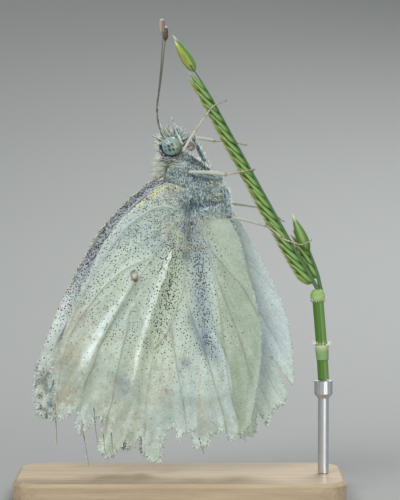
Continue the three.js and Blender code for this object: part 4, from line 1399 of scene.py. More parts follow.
class Skin:
    """A surface that hair grows on."""

    def __init__(self, points, quads):
        self.points = points
        self.triangles = np.vstack([quads[:, [0, 1, 2]], quads[:, [0, 2, 3]]])
        a, b, c = (points[self.triangles[:, k]] for k in range(3))
        cross = np.cross(b - a, c - a)
        self.area = np.linalg.norm(cross, axis=1) / 2.0
        self.normal = unit(cross)
        self.middle = (a + b + c) / 3.0

    def roots(self, per_area, rng):
        """Seeded random places on the skin with the given density, and the normals there."""
        expected = np.maximum(per_area(self.middle), 0.0) * self.area
        places, picked = random_on(self.points, self.triangles, expected, rng)
        return places, self.normal[picked]


def leaning(normals, lie, lift, rng, jitter):
    """Unit directions that follow the lie over a surface and stand off it by lift degrees."""
    lie = np.broadcast_to(np.asarray(lie, float), normals.shape)
    flat = unit(lie - normals * (lie * normals).sum(axis=1, keepdims=True))
    lift = np.radians(lift + rng.normal(0.0, 8.0, (len(normals), 1)))
    way = flat * np.cos(lift) + normals * np.sin(lift)
    return unit(way + rng.normal(0.0, jitter, normals.shape))


def outside_eyes(points):
    """False on the parts of the head that the eyes and a narrow rim round them cover."""
    rim = 1.03
    off = (points * [1, 0, 1] + np.abs(points) * [0, 1, 0] - EYE_CENTRE) / (np.asarray(EYE_HALF) * rim)
    return (off ** 2).sum(axis=1) > 1.0


# Long locks behind the near eye: root, tip and number of hairs.
NAPE_LOCKS = [((-1.55, 0.75, 32.3), (-2.6, 1.0, 32.95), 9), ((-1.6, 0.8, 32.05), (-2.65, 1.05, 32.3), 16),
              ((-1.6, 0.8, 31.9), (-2.45, 1.0, 32.0), 14), ((-1.5, 0.7, 32.6), (-2.15, 0.95, 33.1), 12),
              ((-1.5, 0.5, 32.5), (-2.4, 0.5, 32.7), 10)]


def head_hair(skin, rng):
    """Spiky crown, long hair behind the head, hair round the tongue and below the eyes."""
    coat = Coat(rng)

    def planted(mask, density, lie, lift, jitter):
        """Places beside the eyes, the normals there and the directions of the hair."""
        roots, normals = skin.roots(lambda p: density * mask(p) * outside_eyes(p), rng)
        return roots, normals, leaning(normals, lie(roots) if callable(lie) else lie, lift, rng, jitter)

    def add(mask, lie, lift, length, width, looks, weights, jitter=0.16, density=70.0, end_shade=1.1):
        roots, normals, way = planted(mask, density, lie, lift, jitter)
        coat.grow(roots, way, normals, length, width, choose(rng, len(roots), looks, weights),
                  body_unwrap(roots), 0.2, end_shade)

    def tufts(mask, lie, lift, length, density):
        """Spikes of a dozen hairs that lean together at their tips."""
        middles, normals, way = planted(mask, density, lie, lift, 0.14)
        hairs = 12
        spread_out = rng.normal(0.0, 0.075, (len(middles) * hairs, 3))
        roots = np.repeat(middles, hairs, axis=0) + spread_out
        ways = unit(np.repeat(way, hairs, axis=0) - spread_out * 0.9)
        looks = choose(rng, len(middles), [PALE_HAIR[:3], DARK_HAIR[1:], tone(140, 152, 138)],
                       [3, 3, 2, 1, 2, 4])
        looks = np.repeat(looks, hairs, axis=0) * rng.uniform(0.75, 1.2, (len(roots), 1))
        coat.grow(roots, ways, np.repeat(normals, hairs, axis=0), length, FINE, looks,
                  body_unwrap(roots), 0.08)

    def crown(p):
        near_palp = distance_to_line(p[:, [0, 2]], np.array([(0.2, 31.9), (-0.25, 33.2), (-0.78, 34.5)]))
        clear = np.where(p[:, 1] < 0.1, smooth_step(0.22, 0.5, near_palp), 1.0)
        return smooth_step(32.45, 32.8, p[:, 2]) * clear

    def back(p):
        return smooth_step(-0.9, -1.4, p[:, 0]) * smooth_step(31.0, 31.4, p[:, 2])

    def throat(p):
        return smooth_step(0.1, 0.45, p[:, 0]) * smooth_step(30.9, 31.2, p[:, 2])

    def cheek(p):
        return band(30.5, 30.8, 31.2, 31.6, p[:, 2])

    def chin(p):
        return smooth_step(0.25, 0.5, p[:, 0]) * band(31.2, 31.4, 32.0, 32.3, p[:, 2])

    def everywhere(p):
        return np.ones(len(p))

    def fan(p):
        return np.stack([(p[:, 0] + 0.5) * 0.9, p[:, 1] * 0.4, np.ones(len(p))], axis=1)

    dull = tones((132, 144, 130), (154, 164, 150))
    add(crown, fan, 68, 1.12, FINE, [PALE_HAIR, DARK_HAIR, dull], [4, 3, 2, 1, 4, 4, 2, 3, 2], 0.1, 46, 0.45)
    add(crown, fan, 45, 0.55, FINE, [PALE_HAIR, DARK_HAIR[1:], dull], [4, 3, 2, 1, 1, 1, 3, 3], density=80)
    tufts(crown, fan, 62, 1.35, 0.8)
    add(back, (-1.0, 0.0, 0.5), 48, 0.8, FINE, [PALE_HAIR, DARK_HAIR[1:]], [4, 3, 2, 2, 1, 1], density=75)
    tufts(back, (-1.0, 0.0, 0.45), 55, 1.4, 0.4)
    for root, tip, count in NAPE_LOCKS:
        way = np.subtract(tip, root)
        starts = np.asarray(root) + rng.normal(0.0, 0.06, (count, 3))
        ways = unit(way - (starts - root) * 1.6 + rng.normal(0.0, 0.05, (count, 3)))
        coat.grow(starts, ways, np.tile([0.0, 1.0, 0.0], (count, 1)), np.linalg.norm(way), FINE,
                  choose(rng, count, [PALE_HAIR[:2], dull], [2, 3, 3, 4]), body_unwrap(starts), 0.06)
    add(throat, (0.75, 0.0, 0.9), 50, 0.8, 0.027, [PALE_HAIR, DARK_HAIR], [4, 3, 2, 0.5, 5, 4, 2],
        0.1, 70, 0.5)
    add(chin, (1.0, 0.0, 0.05), 40, 0.95, 0.028, [PALE_HAIR[:2], tones((196, 190, 184), (150, 134, 112))],
        [4, 3, 3, 3], 0.2, 120)
    add(cheek, (-0.6, 0.0, -1.0), 28, 0.36, 0.034, [tones((176, 190, 206), (150, 166, 180)), DARK_HAIR],
        [4, 3, 4, 2, 1], density=110)
    add(everywhere, (-0.2, 0.0, -1.0), 22, 0.3, 0.032, [PALE_HAIR, dull], [2, 3, 4, 1, 3, 3])
    return coat


def thorax_hair(skin, rng):
    """Close hair on the flanks, long collar behind the head, and a fringe along the underside."""
    coat = Coat(rng)

    def flank_looks(roots):
        """The ground colour, paler or darker by chance, with dark locks in the dark marks."""
        count = len(roots)
        pale = rng.random((count, 1)) < 0.36
        ground = body_tint(roots) * np.where(pale, rng.uniform(1.2, 1.75, (count, 1)),
                                             rng.uniform(0.62, 0.98, (count, 1)))
        dark = rng.random(count) < body_darkness(roots)
        return np.where(dark[:, None], choose(rng, count, DARK_HAIR, [3, 2, 1]), ground)

    def add(mask, lie, lift, length, width, density, looks=None, weights=None, jitter=0.3):
        roots, normals = skin.roots(lambda p: density * mask(p), rng)
        way = leaning(normals, lie, lift, rng, jitter)
        tints = flank_looks(roots) if looks is None else choose(rng, len(roots), looks, weights)
        coat.grow(roots, way, normals, length, width, tints, body_unwrap(roots))

    def trunk(p):
        return band(24.9, 25.5, 30.9, 31.1, p[:, 2])

    def collar(p):
        edge = np.interp(p[:, 2], [28.4, 29.5, 31.0], [-1.45, -1.4, -1.15])
        return smooth_step(0.25, -0.25, p[:, 0] - edge) * smooth_step(28.4, 28.9, p[:, 2]) * trunk(p)

    def neck(p):
        return band(29.9, 30.2, 30.9, 31.2, p[:, 2]) * smooth_step(0.4, -0.2, p[:, 0])

    def shoulder(p):
        return body_mark(p, (0.1, 30.3), (0.6, 0.4))

    def underside(p):
        line = np.interp(p[:, 2], [25.5, 27.6, 29.0, 30.6], [3.4, 3.1, 2.3, 1.2])
        return trunk(p) * smooth_step(0.35, 0.0, line - p[:, 0])

    def skirt(p):
        return band(25.2, 25.8, 26.7, 27.4, p[:, 2])

    add(trunk, (0.4, 0.0, -1.0), 18, 0.17, 0.034, 130, jitter=0.6)
    add(trunk, (0.5, 0.0, -0.8), 36, 0.26, FINE, 70, jitter=0.65)
    add(skirt, (0.2, 0.0, -1.0), 40, 0.72, 0.03, 80)
    add(collar, (-0.7, 0.0, -0.4), 58, 1.0, 0.036, 110,
        [tones((188, 194, 182), (172, 180, 170), (156, 168, 168), (190, 190, 178)), DARK_HAIR[2]],
        [6, 3, 1.0, 4, 0.8], 0.26)
    add(neck, (-1.0, 0.0, -0.25), 22, 0.6, 0.034, 70,
        [tones((150, 154, 126), (184, 176, 104), (128, 142, 134), (98, 102, 96)), DARK_HAIR],
        [3, 0.8, 3, 3, 3, 3, 2], 0.16)
    add(shoulder, (0.4, 0.0, -1.0), 20, 0.3, 0.036, 110,
        tones((168, 190, 192), (150, 172, 176), (182, 196, 190)), [3, 3, 2], 0.3)
    add(underside, (1.0, 0.0, -0.5), 50, 0.55, 0.028, 60,
        [PALE_HAIR, DARK_HAIR[1:]], [4, 4, 3, 1, 1, 1], 0.28)
    return coat


def abdomen_hair(skin, rng):
    """Close pale hair on the tail end, lying downwards."""
    coat = Coat(rng)
    roots, normals = skin.roots(lambda p: 60.0 * smooth_step(25.6, 25.2, p[:, 2]), rng)
    way = leaning(normals, (0.25, 0.0, -1.0), 14, rng, 0.12)
    tints = body_tint(roots) * rng.uniform(0.75, 1.15, (len(roots), 1))
    coat.grow(roots, way, normals, 0.34, 0.045, tints, body_unwrap(roots))
    return coat


def build_body():
    """Skin of head, thorax and abdomen with its hair. Returns the hair's material."""
    shapes = [body_loft(THORAX_STATIONS, COAT_DEPTH["thorax"]),
              body_loft(ABDOMEN_STATIONS, COAT_DEPTH["abdomen"]),
              ellipsoid(HEAD_CENTRE, np.array(HEAD_HALF) - COAT_DEPTH["head"], 40, 26)]
    for side in SIDES:
        for root, hip in COXAE.values():
            line = np.linspace(mirrored(root, side), mirrored(hip, side), 8)
            shapes.append(tube(line, np.linspace(0.34, 0.22, 8), 14))
    points, quads = fused(shapes, 0.1, 6)
    skin_material = tinted("body_skin", (0.7, 1.2), 9.0, (22.0, 0.02), roughness=0.75, specular=0.25).made
    mesh_object("body_skin", points, quads, skin_material, ("head", "thorax", "abdomen"),
                body_tint(points) * 0.2 + tone(62, 66, 66))
    skin = Skin(points, quads)
    hair = tinted("body_hair", (0.8, 1.2), 6.0, roughness=0.55, specular=0.35, sheen=0.2).made
    rng = np.random.default_rng(7)
    for part, grown in (("head", head_hair), ("thorax", thorax_hair), ("abdomen", abdomen_hair)):
        grown(skin, rng).piece(f"{part}_hair", "body", hair)
    return hair


# ---------------------------------------------------------------- eyes

# Dark spots of the eye, in shares of its half sizes from its middle: x, z, size and strength.
EYE_SPOTS = [(-0.22, 0.08, 0.17, 1.0), (-0.57, 0.3, 0.09, 0.75), (-0.33, 0.45, 0.13, 0.9),
             (-0.54, 0.0, 0.11, 0.6), (-0.08, 0.65, 0.12, 0.35), (0.15, 0.19, 0.18, 0.85),
             (0.54, 0.25, 0.13, 0.35), (-0.11, -0.31, 0.16, 0.9), (0.25, -0.25, 0.14, 0.95),
             (0.62, -0.21, 0.12, 0.4), (0.44, -0.62, 0.1, 0.4), (-0.48, -0.38, 0.13, 0.5)]


def build_eyes(hair):
    """Faceted lenses and the hairs round them."""
    finish = tinted("eye_lens", (0.93, 1.06), 8.0, roughness=0.28, specular=0.5, coat=0.35)
    finish.bump(finish.cells(28.0, "Distance"), 0.006)
    for side in SIDES:
        centre = mirrored(EYE_CENTRE, side)
        points, faces = ellipsoid(centre, EYE_HALF, 150, 90)
        mesh_object(f"eye_{side}_lens", points, faces, finish.made, (f"eye_{side}",),
                    eye_tint(points - centre, np.abs(points[:, 1]) - abs(centre[1])))
        build_eye_lashes(side, centre, hair)


def eye_tint(off, outward):
    """Green and blue-grey eye with dark spots and a black rim, wider below; off is from the eye's
    middle and outward is how far the place is from it, away from the head."""
    x, z = off[:, 0], off[:, 2]
    tint = coloured(len(off), (108, 131, 124),
                    (smooth_step(-0.3, 0.7, x), (114, 130, 104), 0.8),
                    (smooth_step(0.1, 0.8, z - x * 0.4), (128, 154, 150), 0.7),
                    (smooth_step(0.2, 0.8, -z - x * 0.8), (100, 126, 134), 0.6))
    for spot_x, spot_z, size, strength in EYE_SPOTS:
        right, up = x / EYE_HALF[0] - spot_x, z / EYE_HALF[2] - spot_z
        long, short = (right - up) * 0.707, (right + up) * 0.707
        blot = np.exp(-(((long / 1.3) ** 2 + (short / 0.8) ** 2) / size ** 2) ** 1.6)
        tint = over(tint, (blot * (outward > 0), (6, 10, 14), min(1.0, strength * 1.15)))
    lower = smooth_step(-0.1, 0.5, -z - x * 0.55)
    rim = smooth_step(0.1, 0.0, outward - 0.05 - 0.24 * lower)
    return over(tint, (rim * (0.35 + 0.65 * lower), (12, 16, 18), 1.0))


def build_eye_lashes(side, centre, hair):
    """Short dark and blue-white hairs round the lower back of the eye."""
    rng = np.random.default_rng(17)
    count = 420
    turn = rng.uniform(172.0, 300.0, count)
    out = np.stack([np.cos(np.radians(turn)), np.zeros(count), np.sin(np.radians(turn))], axis=1)
    reach = rng.uniform(0.94, 1.0, count) + rng.random(count) * 0.22 * bell(turn - 238.0, 34.0)
    roots = centre + out * np.array(EYE_HALF) * reach[:, None]
    roots[:, 1] = centre[1] + SIDES[side] * rng.uniform(-0.1, 0.12, count)
    normals = np.tile([0.0, SIDES[side], 0.0], (count, 1))
    ways = unit(out * 0.9 + normals * 0.4 + rng.normal(0.0, 0.3, (count, 3)))
    patches = value_noise(np.stack([turn / 9.0, reach * 16.0], axis=1), 1.0, 3)
    looks = np.where((patches > 0.12)[:, None], tone(146, 156, 176), tone(16, 20, 22))
    coat = Coat(rng)
    coat.grow(roots, ways, normals, 0.17, 0.032, looks, body_unwrap(roots))
    coat.piece(f"eye_{side}_lashes", "body", hair)


# ---------------------------------------------------------------- feelers, palps and tongue

ANTENNA_LINES = {
    "right": [(-1.2, 0.3, 32.3), (-1.8, 0.36, 33.3), (-2.1, 0.44, 35.2), (-1.82, 0.52, 37.9),
              (-1.6, 0.57, 40.6), (-1.55, 0.6, 42.0), (-1.64, 0.62, 43.45)],
    "left": [(-1.2, 0.3, 32.3), (-1.78, 0.38, 33.3), (-2.06, 0.5, 35.2), (-1.74, 0.6, 37.9),
             (-1.44, 0.66, 40.6), (-1.33, 0.7, 41.7), (-1.36, 0.72, 42.85)],
}

RING_PITCH = 0.31


def build_antenna(side, material):
    """Ringed shaft, dark at its foot, that swells into a club with a pale tip."""
    line = smooth_line(mirrored(ANTENNA_LINES[side], side), 0.035)
    length = np.linalg.norm(np.diff(line, axis=0), axis=1).sum()

    def rings(part):
        """1 in the middle of each ring, 0 between them."""
        return 0.5 + 0.5 * np.cos(part * length * FULL_TURN / RING_PITCH)

    share = shares(len(line))
    radius = 0.05 + 0.012 * smooth_step(0.12, 0.0, share) + 0.012 * rings(share) ** 3
    radius = radius + smooth_step(0.86, 0.91, share) * 0.2
    round_end = np.sqrt(1.0 - np.clip((share - 0.962) / 0.038, 0.0, 1.0) ** 2)
    radius = radius * (0.08 + 0.92 * round_end)
    near_side = side == "right"

    def look(part, turn):
        flecks = value_noise(np.stack([part * 90.0, turn], axis=1), 1.1, 5 + near_side) > 0.28
        low = smooth_step(0.07, 0.12, part) * smooth_step(0.55, 0.3, part)
        club, pale_part = (74, 60, 40), smooth_step(0.975, 0.985, part)
        if near_side:
            club = (102, 96, 92)
            pale_part = smooth_step(0.86, 0.9, part) * smooth_step(-0.2, 0.5, np.cos(turn - 1.2))
        return coloured(len(part), (76, 72, 62),
                        (smooth_step(0.62, 0.8, part), (98, 94, 84), 0.8),
                        (smooth_step(0.5, 0.25, part), (44, 42, 38), 0.9),
                        (smooth_step(0.12, 0.05, part), (34, 34, 34), 0.9),
                        (flecks * (0.4 + 0.6 * rings(part)) * low, (172, 176, 162), 0.7),
                        (smooth_step(0.85, 0.88, part), club, 1.0),
                        (pale_part, (172, 158, 140), 0.9),
                        (smooth_step(0.98, 0.995, part), (176, 160, 142), 0.8))

    bundle = Bundle()
    tinted_tube(bundle, line, radius, look, 16)
    bundle.add(*ellipsoid(line[0] + [0.05, 0, -0.03], (0.15, 0.14, 0.15), 16, 12), tone(60, 58, 54))
    bundle.piece(f"antenna_{side}_feeler", "feeler", material, (f"antenna_{side}",))


PALP_LINE = [(0.25, 0.55, 32.0), (-0.25, 0.72, 33.2), (-0.78, 0.62, 34.55)]


def build_palp(side, material, hair):
    """Labial palp of three joints in a brush of hair, with a thin pale last joint."""
    line = smooth_line(mirrored(PALP_LINE, side), 0.06)
    share = shares(len(line))
    radius = 0.065 + 0.1 * smooth_step(0.85, 0.1, share)
    radius *= 0.3 + 0.7 * np.sqrt(np.clip((1.0 - share) / 0.06, 0.0, 1.0))

    def look(part, turn):
        dusk = value_noise(np.stack([part * 12.0, turn], axis=1), 1.6, 9) > 0.3
        return coloured(len(part), (172, 186, 188),
                        (smooth_step(0.6, 0.95, part), (158, 170, 162), 1.0),
                        (np.abs(np.sin(turn)) ** 3, (120, 134, 140), 0.6),
                        (dusk * (part < 0.9), (90, 100, 106), 0.7))

    bundle = Bundle()
    tinted_tube(bundle, line, radius, look, 14)
    bundle.piece(f"palp_{side}_joints", "body", material, (f"palp_{side}",))
    rng = np.random.default_rng(23)
    count = 420
    at = rng.random(count) ** 1.25 * 0.98
    index = (at * (len(line) - 1)).astype(int)
    along = unit(np.gradient(line, axis=0))[index]
    out = unit(np.cross(along, rng.normal(size=(count, 3))) + np.array([1.3, 0.0, 0.0]))
    roots = line[index] + out * radius[index][:, None] * 0.9
    brush = smooth_step(0.75, 0.25, at)
    ways = unit(along * 1.0 + out * (0.25 + 0.75 * brush)[:, None]
                + np.array([0.9, 0.0, 0.1]) * brush[:, None])
    looks = choose(rng, count, [PALE_HAIR, DARK_HAIR], [4, 4, 3, 0.6, 4, 3, 2])
    coat = Coat(rng)
    coat.grow(roots, ways, out, 0.12 + 0.66 * brush, 0.022, looks, body_unwrap(roots))
    coat.piece(f"palp_{side}_hair", "body", hair)


def build_tongue():
    """Coiled tongue between the palps: a tapering spiral with fine rings."""
    made = tinted("tongue_horn", (0.8, 1.15), 8.0, (18.0, 0.012), roughness=0.4, specular=0.5).made
    turns = 2.4
    share = shares(150)
    swing = math.radians(150.0) - share * turns * 2.0 * math.pi
    reach = 0.4 - 0.3 * share
    line = np.stack([0.98 + reach * np.cos(swing), 0.02 * np.sin(share * 9.0),
                     31.85 + reach * np.sin(swing)], axis=1)
    lead = np.array([(-0.05, 0.0, 31.95), (0.25, 0.0, 32.1)])
    line = np.vstack([smooth_line(np.vstack([lead, line[:1]]), 0.04)[:-1], line])

    def look(part, turn):
        return coloured(len(part), (132, 116, 98),
                        (np.sin(part * 95.0) > 0.55, (70, 56, 46), 0.8),
                        (np.cos(turn) > 0.5, (184, 176, 160), 0.6))

    bundle = Bundle()
    tinted_tube(bundle, line, 0.085 - 0.045 * shares(len(line)), look, 14)
    bundle.piece("proboscis_tongue", "tongue", made, ("proboscis_coil",))


# ---------------------------------------------------------------- legs

# From the hip: knee, end of the shin, joints of the foot, claws. y is from the midline.
LEG_LINES = {
    "fore_right": [(0.27, 1.65, 31.45), (1.45, 1.2, 33.45), (2.64, 0.95, 35.1), (3.2, 0.9, 35.65),
                   (4.1, 0.88, 36.0)],
    "fore_left": [(1.18, 1.35, 32.7), (3.18, 1.1, 32.36), (3.9, 1.0, 32.36), (5.2, 0.93, 32.2),
                  (5.95, 0.9, 32.02)],
    "mid_right": [(0.73, 2.15, 29.64), (4.18, 1.5, 29.36), (5.4, 1.1, 29.55), (6.6, 0.92, 29.8)],
    "mid_left": [(0.8, 2.15, 29.6), (4.15, 1.5, 29.3), (5.4, 1.1, 29.5), (6.7, 0.92, 29.7)],
    "hind_right": [(4.55, 2.1, 25.55), (7.8, 1.1, 24.7), (8.64, 0.98, 24.15), (9.5, 0.93, 23.45),
                   (10.5, 0.92, 23.1), (11.15, 0.9, 22.97), (11.85, 0.88, 23.3)],
    "hind_left": [(4.4, 2.45, 26.6), (7.3, 1.15, 26.3), (8.5, 0.95, 25.75), (9.35, 0.92, 25.1)],
}


def at_share(line, share):
    """Point a given share of the way along a line."""
    lengths = travelled(line)
    place = np.asarray(share) * lengths[-1]
    return np.stack([np.interp(place, lengths, line[:, k]) for k in range(3)], axis=-1)


# Colours of a thigh: its sides, its upper and lower lines, its flecks and its end at the knee.
MID_THIGH = ((104, 122, 118), (132, 150, 144), (60, 70, 66), (184, 182, 160))
HIND_THIGH = ((112, 132, 138), (132, 150, 152), (36, 44, 48), (112, 84, 62))
THIGH_LOOKS = {
    "fore_right": ((40, 52, 46), (176, 190, 192), (30, 40, 36), (150, 104, 72)),
    "fore_left": ((64, 84, 92), (160, 180, 188), (36, 48, 52), (120, 100, 84)),
    "mid_right": MID_THIGH, "mid_left": MID_THIGH,
    "hind_right": HIND_THIGH, "hind_left": HIND_THIGH,
}
# Of each pair of legs: the thigh's and the shin's half thickness, and how much the shin swells.
LEG_THICKNESS = {"fore": (0.17, 0.122, 0.012), "mid": (0.17, 0.14, 0.04), "hind": (0.2, 0.1, 0.012)}
KNEE_LOOKS = {"fore": (140, 108, 82), "mid": (116, 96, 76), "hind": (116, 96, 76)}


def thigh_look(base, edge, dark, end):
    """Look of a thigh: edge colour on its upper and lower lines, dark flecks, its end coloured."""
    def look(part, turn):
        flecks = value_noise(np.stack([part * 17.0, turn * 0.8], axis=1), 0.6, 31)
        return coloured(len(part), base,
                        (np.abs(np.sin(turn)) ** 3, edge, 0.9),
                        (smooth_step(0.22, 0.4, flecks), dark, 0.9),
                        (smooth_step(0.9, 1.0, part), end, 0.9))
    return look


def shin_look(part, turn):
    """Grey shin, tan at the knee and brown at its end, duller on one side."""
    return coloured(len(part), (158, 162, 150),
                    (smooth_step(0.1, 0.0, part), (166, 122, 88), 0.7),
                    (np.sin(turn) > 0.3, (138, 140, 124), 0.6),
                    (smooth_step(0.93, 1.0, part), (112, 84, 62), 0.8))


FOOT_CUTS = np.array([0.0, 0.42, 0.6, 0.74, 0.86, 1.0])  # ends of its five joints, in shares
JOINT_FLARE = np.array([0.064, 0.065, 0.066, 0.067, 0.069, 0.073, 0.079, 0.083, 0.06])


def build_foot(bundle, line):
    """Five foot joints, each a little wider at its end, two pairs of claws and small spines."""
    pale, dark = tone(158, 160, 134), tone(90, 70, 52)
    rng = np.random.default_rng(5)
    spines = 7
    for number, (start, end) in enumerate(zip(FOOT_CUTS[:-1], FOOT_CUTS[1:])):
        shade = number / 4.0

        def look(part, turn, shade=shade):
            colours = np.tile(pale * (1 - shade * 0.4) + dark * shade * 0.4, (len(part), 1))
            return paint(colours, smooth_step(0.8, 1.0, part), dark, 0.75)

        joint = at_share(line, np.linspace(start, end, len(JOINT_FLARE)))
        tinted_tube(bundle, joint, JOINT_FLARE * (1.1 - 0.25 * shade), look, 12)
        for _ in range(spines):
            root = at_share(line, rng.uniform(start, end))
            way = unit(unit(line[-1] - line[0]) + unit(rng.normal(size=3)) * 0.9)
            spine = np.array([root, root + way * 0.09, root + way * 0.17])
            tinted_tube(bundle, spine, np.array([0.016, 0.011, 0.003]), plain(dark), 5)
    toe = line[-1]
    ahead = unit(line[-1] - line[-2])
    down = unit(np.cross(ahead, [0.0, 1.0, 0.0]))
    for spread_out in (-0.6, -0.25, 0.25, 0.6):
        aside = ahead + np.array([0.0, spread_out, 0.0])
        claw = smooth_line([toe, toe + aside * 0.13, toe + aside * 0.2 + down * 0.12], 0.03)
        tinted_tube(bundle, claw, np.linspace(0.032, 0.005, len(claw)), plain(dark * 0.6), 8)


def leg_hair(coat, line, radius, count, length, looks, weights, lift, back=None, flecked=False):
    """Hair on a leg's joint, lying along it and standing off a little."""
    rng = coat.rng
    at = rng.random(count)
    roots = at_share(line, at)
    ahead = unit(line[-1] - line[0])
    out = unit(np.cross(np.tile(ahead, (count, 1)), rng.normal(size=(count, 3))))
    if back is not None:
        out = unit(out + np.asarray(back))
    roots = roots + out * radius * 0.9
    ways = unit(ahead + out * lift + rng.normal(0.0, 0.12, (count, 3)))
    tints = choose(rng, count, looks, weights)
    if flecked:
        patches = value_noise(np.stack([at * 17.0, out[:, 1] * 2.0], axis=1), 0.6, 32) > 0.24
        tints = np.where(patches[:, None], DARK_HAIR[0] * 0.6, tints)
    coat.grow(roots, ways, out, length, 0.024, tints, body_unwrap(roots))


def settled(foot, husks, way):
    """A foot's line bent towards the midline so that it lies on the husks that it crosses; way is
    1 for a left foot and -1 for a right one."""
    far, half_thickness, lead, sink = 3.0, 0.03, 0.3, 0.25
    share = shares(len(foot))
    crossed, heights = [], []
    for part, point in zip(share, foot):
        hit = husks.ray_cast(Vector((point[0], way * far, point[2])), Vector((0.0, -way, 0.0)), far)[0]
        if hit is not None:
            crossed.append(part)
            heights.append(way * hit.y)
    if not crossed:
        return foot
    down = max(crossed[0], lead)
    lying = max(height for part, height in zip(crossed, heights) if part >= down) + half_thickness
    onto = smooth_step(0.0, down, share)
    past = smooth_step(crossed[-1], 1.2, share)
    bent = foot.copy()
    bent[:, 1] = way * ((1.0 - onto) * np.abs(foot[:, 1]) + onto * lying - sink * past)
    return bent


def build_leg(name, material, hair, husks):
    """A leg from its hip to its claws, with its spurs, spines and hair."""
    pair, side = name.split("_")
    hip = mirrored(COXAE[pair][1], side)
    points = mirrored(LEG_LINES[name], side)
    knee, shin_end = points[0], points[1]
    thigh_thick, shin_thick, swell = LEG_THICKNESS[pair]
    bundle, coat = Bundle(), Coat(np.random.default_rng(sum(map(ord, name))))
    rows = 22
    thigh, share = np.linspace(hip, knee, rows), shares(rows)
    belly = 0.06 * np.sin(math.pi * np.clip(share * 0.9 + 0.1, 0, 1))
    tinted_tube(bundle, thigh, thigh_thick + belly - 0.04 * share, thigh_look(*THIGH_LOOKS[name]), 16)
    bundle.add(*ellipsoid(knee, (0.115, 0.115, 0.115), 14, 10), tone(*KNEE_LOOKS[pair]))
    bow = (knee + shin_end) / 2 + np.array([0.0, 0.0, 0.05])
    shin = smooth_line([knee, bow, shin_end], 0.12)
    share = shares(len(shin))
    radius = shin_thick + 0.015 * np.sin(math.pi * share) + swell * share
    tinted_tube(bundle, shin, radius, shin_look, 14)
    ahead = unit(shin_end - knee)
    for aside in (-0.45, 0.45):
        way = unit(ahead + np.array([0.0, aside, -0.25]))
        spur = np.array([shin_end - ahead * 0.06, shin_end + way * 0.16, shin_end + way * 0.3])
        tinted_tube(bundle, spur, np.array([0.03, 0.022, 0.006]), plain(tone(150, 138, 112)), 7)
    build_foot(bundle, settled(smooth_line(points[1:], 0.1), husks, SIDES[side]))
    bundle.piece(f"leg_{name}_joints", "leg", material, (f"leg_{name}",))
    blue = tones((150, 172, 178), (182, 196, 194), (128, 150, 158)) * (0.7 if pair == "hind" else 1.0)
    leg_hair(coat, thigh, 0.18, 420, 0.15, blue, [4, 3, 2], 0.3, flecked=True)
    if pair == "fore":
        leg_hair(coat, thigh, 0.18, 200, 0.4, [PALE_HAIR[:3], DARK_HAIR[0]], [4, 4, 3, 2], 0.9,
                 (0.9, 0.0, 0.4))
    if pair == "hind":
        leg_hair(coat, thigh[:14], 0.18, 90, 0.5, PALE_HAIR, [3, 3, 3, 2], 1.5, (1.3, 0.0, 0.3))
    leg_hair(coat, shin, 0.085, 90, 0.12, [PALE_HAIR[:2], tone(150, 140, 116)], [3, 3, 2], 0.4)
    coat.piece(f"leg_{name}_hair", "leg", hair)


# ---------------------------------------------------------------- grass

SPIKE_LINE = [(12.55, 0.0, 18.2), (9.5, 0.0, 23.4), (5.6, 0.0, 30.5), (2.6, 0.0, 36.0),
              (0.55, 0.0, 39.7), (-0.3, 0.0, 41.6)]
STUMP_LINE = [(12.6, 0.35, 18.4), (12.2, 1.0, 20.2), (11.4, 1.1, 22.4), (10.4, 1.1, 25.2)]
CULM_LINE = [(12.55, 0.0, 18.2), (12.75, 0.0, 15.8), (12.95, 0.0, 13.2), (13.1, 0.0, 10.6)]
SPIKELET_PITCH = 0.56


def husk(foot, ahead, keel, length, width, depth, hook, looks):
    """A closed boat-shaped husk with its keel outwards; looks are its base, edge, stripe and tip.
    Returns points, faces and colours."""
    base, edge, stripe, tip = looks
    rows, around = 15, 12
    share, turns = shares(rows), angles_round(around)
    profile = np.sin(math.pi * share ** 0.72) ** 0.85 * (1.0 - 0.25 * share) + 0.02
    side_way = unit(np.cross(ahead, keel))
    keel = unit(np.cross(side_way, ahead))
    middle = (foot + ahead * (share * length)[:, None]
              + keel * (hook * (np.sin(math.pi * share * 0.9) + share ** 3) * depth)[:, None])
    across, rise = np.cos(turns), np.sin(turns)
    up = np.where(rise > 0, np.abs(rise) ** 1.4, -0.35 * np.abs(rise))
    points = (middle[:, None, :]
              + side_way * (across[None, :, None] * (profile * width)[:, None, None])
              + keel * (up[None, :, None] * (profile * depth)[:, None, None]))
    points = np.vstack([points.reshape(-1, 3), middle[:1] - ahead * 0.03, middle[-1:] + ahead * 0.12])
    part = np.repeat(share, around)
    off_keel = np.angle(np.exp(1j * (turns - math.pi / 2)))
    tint = np.tile(base, (rows * around, 1))
    # Painted shade darkens the foot, where the husks overlap; the pale stripe along the keel is partly the
    # husk's own colour and partly a painted highlight.
    for mask, look, strength in (
            (smooth_step(0.4, 0.1, part), base * 0.78, 0.85),
            (smooth_step(0.72, 0.98, np.tile(np.abs(across), rows)), edge, 0.7),
            (np.tile(bell(off_keel, 0.5), rows) * smooth_step(0.05, 0.3, part), stripe, 0.9),
            (smooth_step(0.78, 1.0, part), tip, 0.85)):
        tint = paint(tint, mask, look, strength)
    return points, closed_faces(rows, around), np.vstack([tint, base[None, :], tip[None, :]])


# Base, edge, stripe and tip of the two inner husks; the middle husk's tip is the outer one's.
INNER_HUSK = tones((118, 130, 60), (136, 118, 78), (156, 168, 104), (166, 140, 106))
MIDDLE_HUSK = tones((98, 130, 52), (128, 138, 74), (152, 174, 104))
LAST_MIDDLE_HUSK = tones((132, 148, 44), (128, 138, 74), (152, 174, 104))


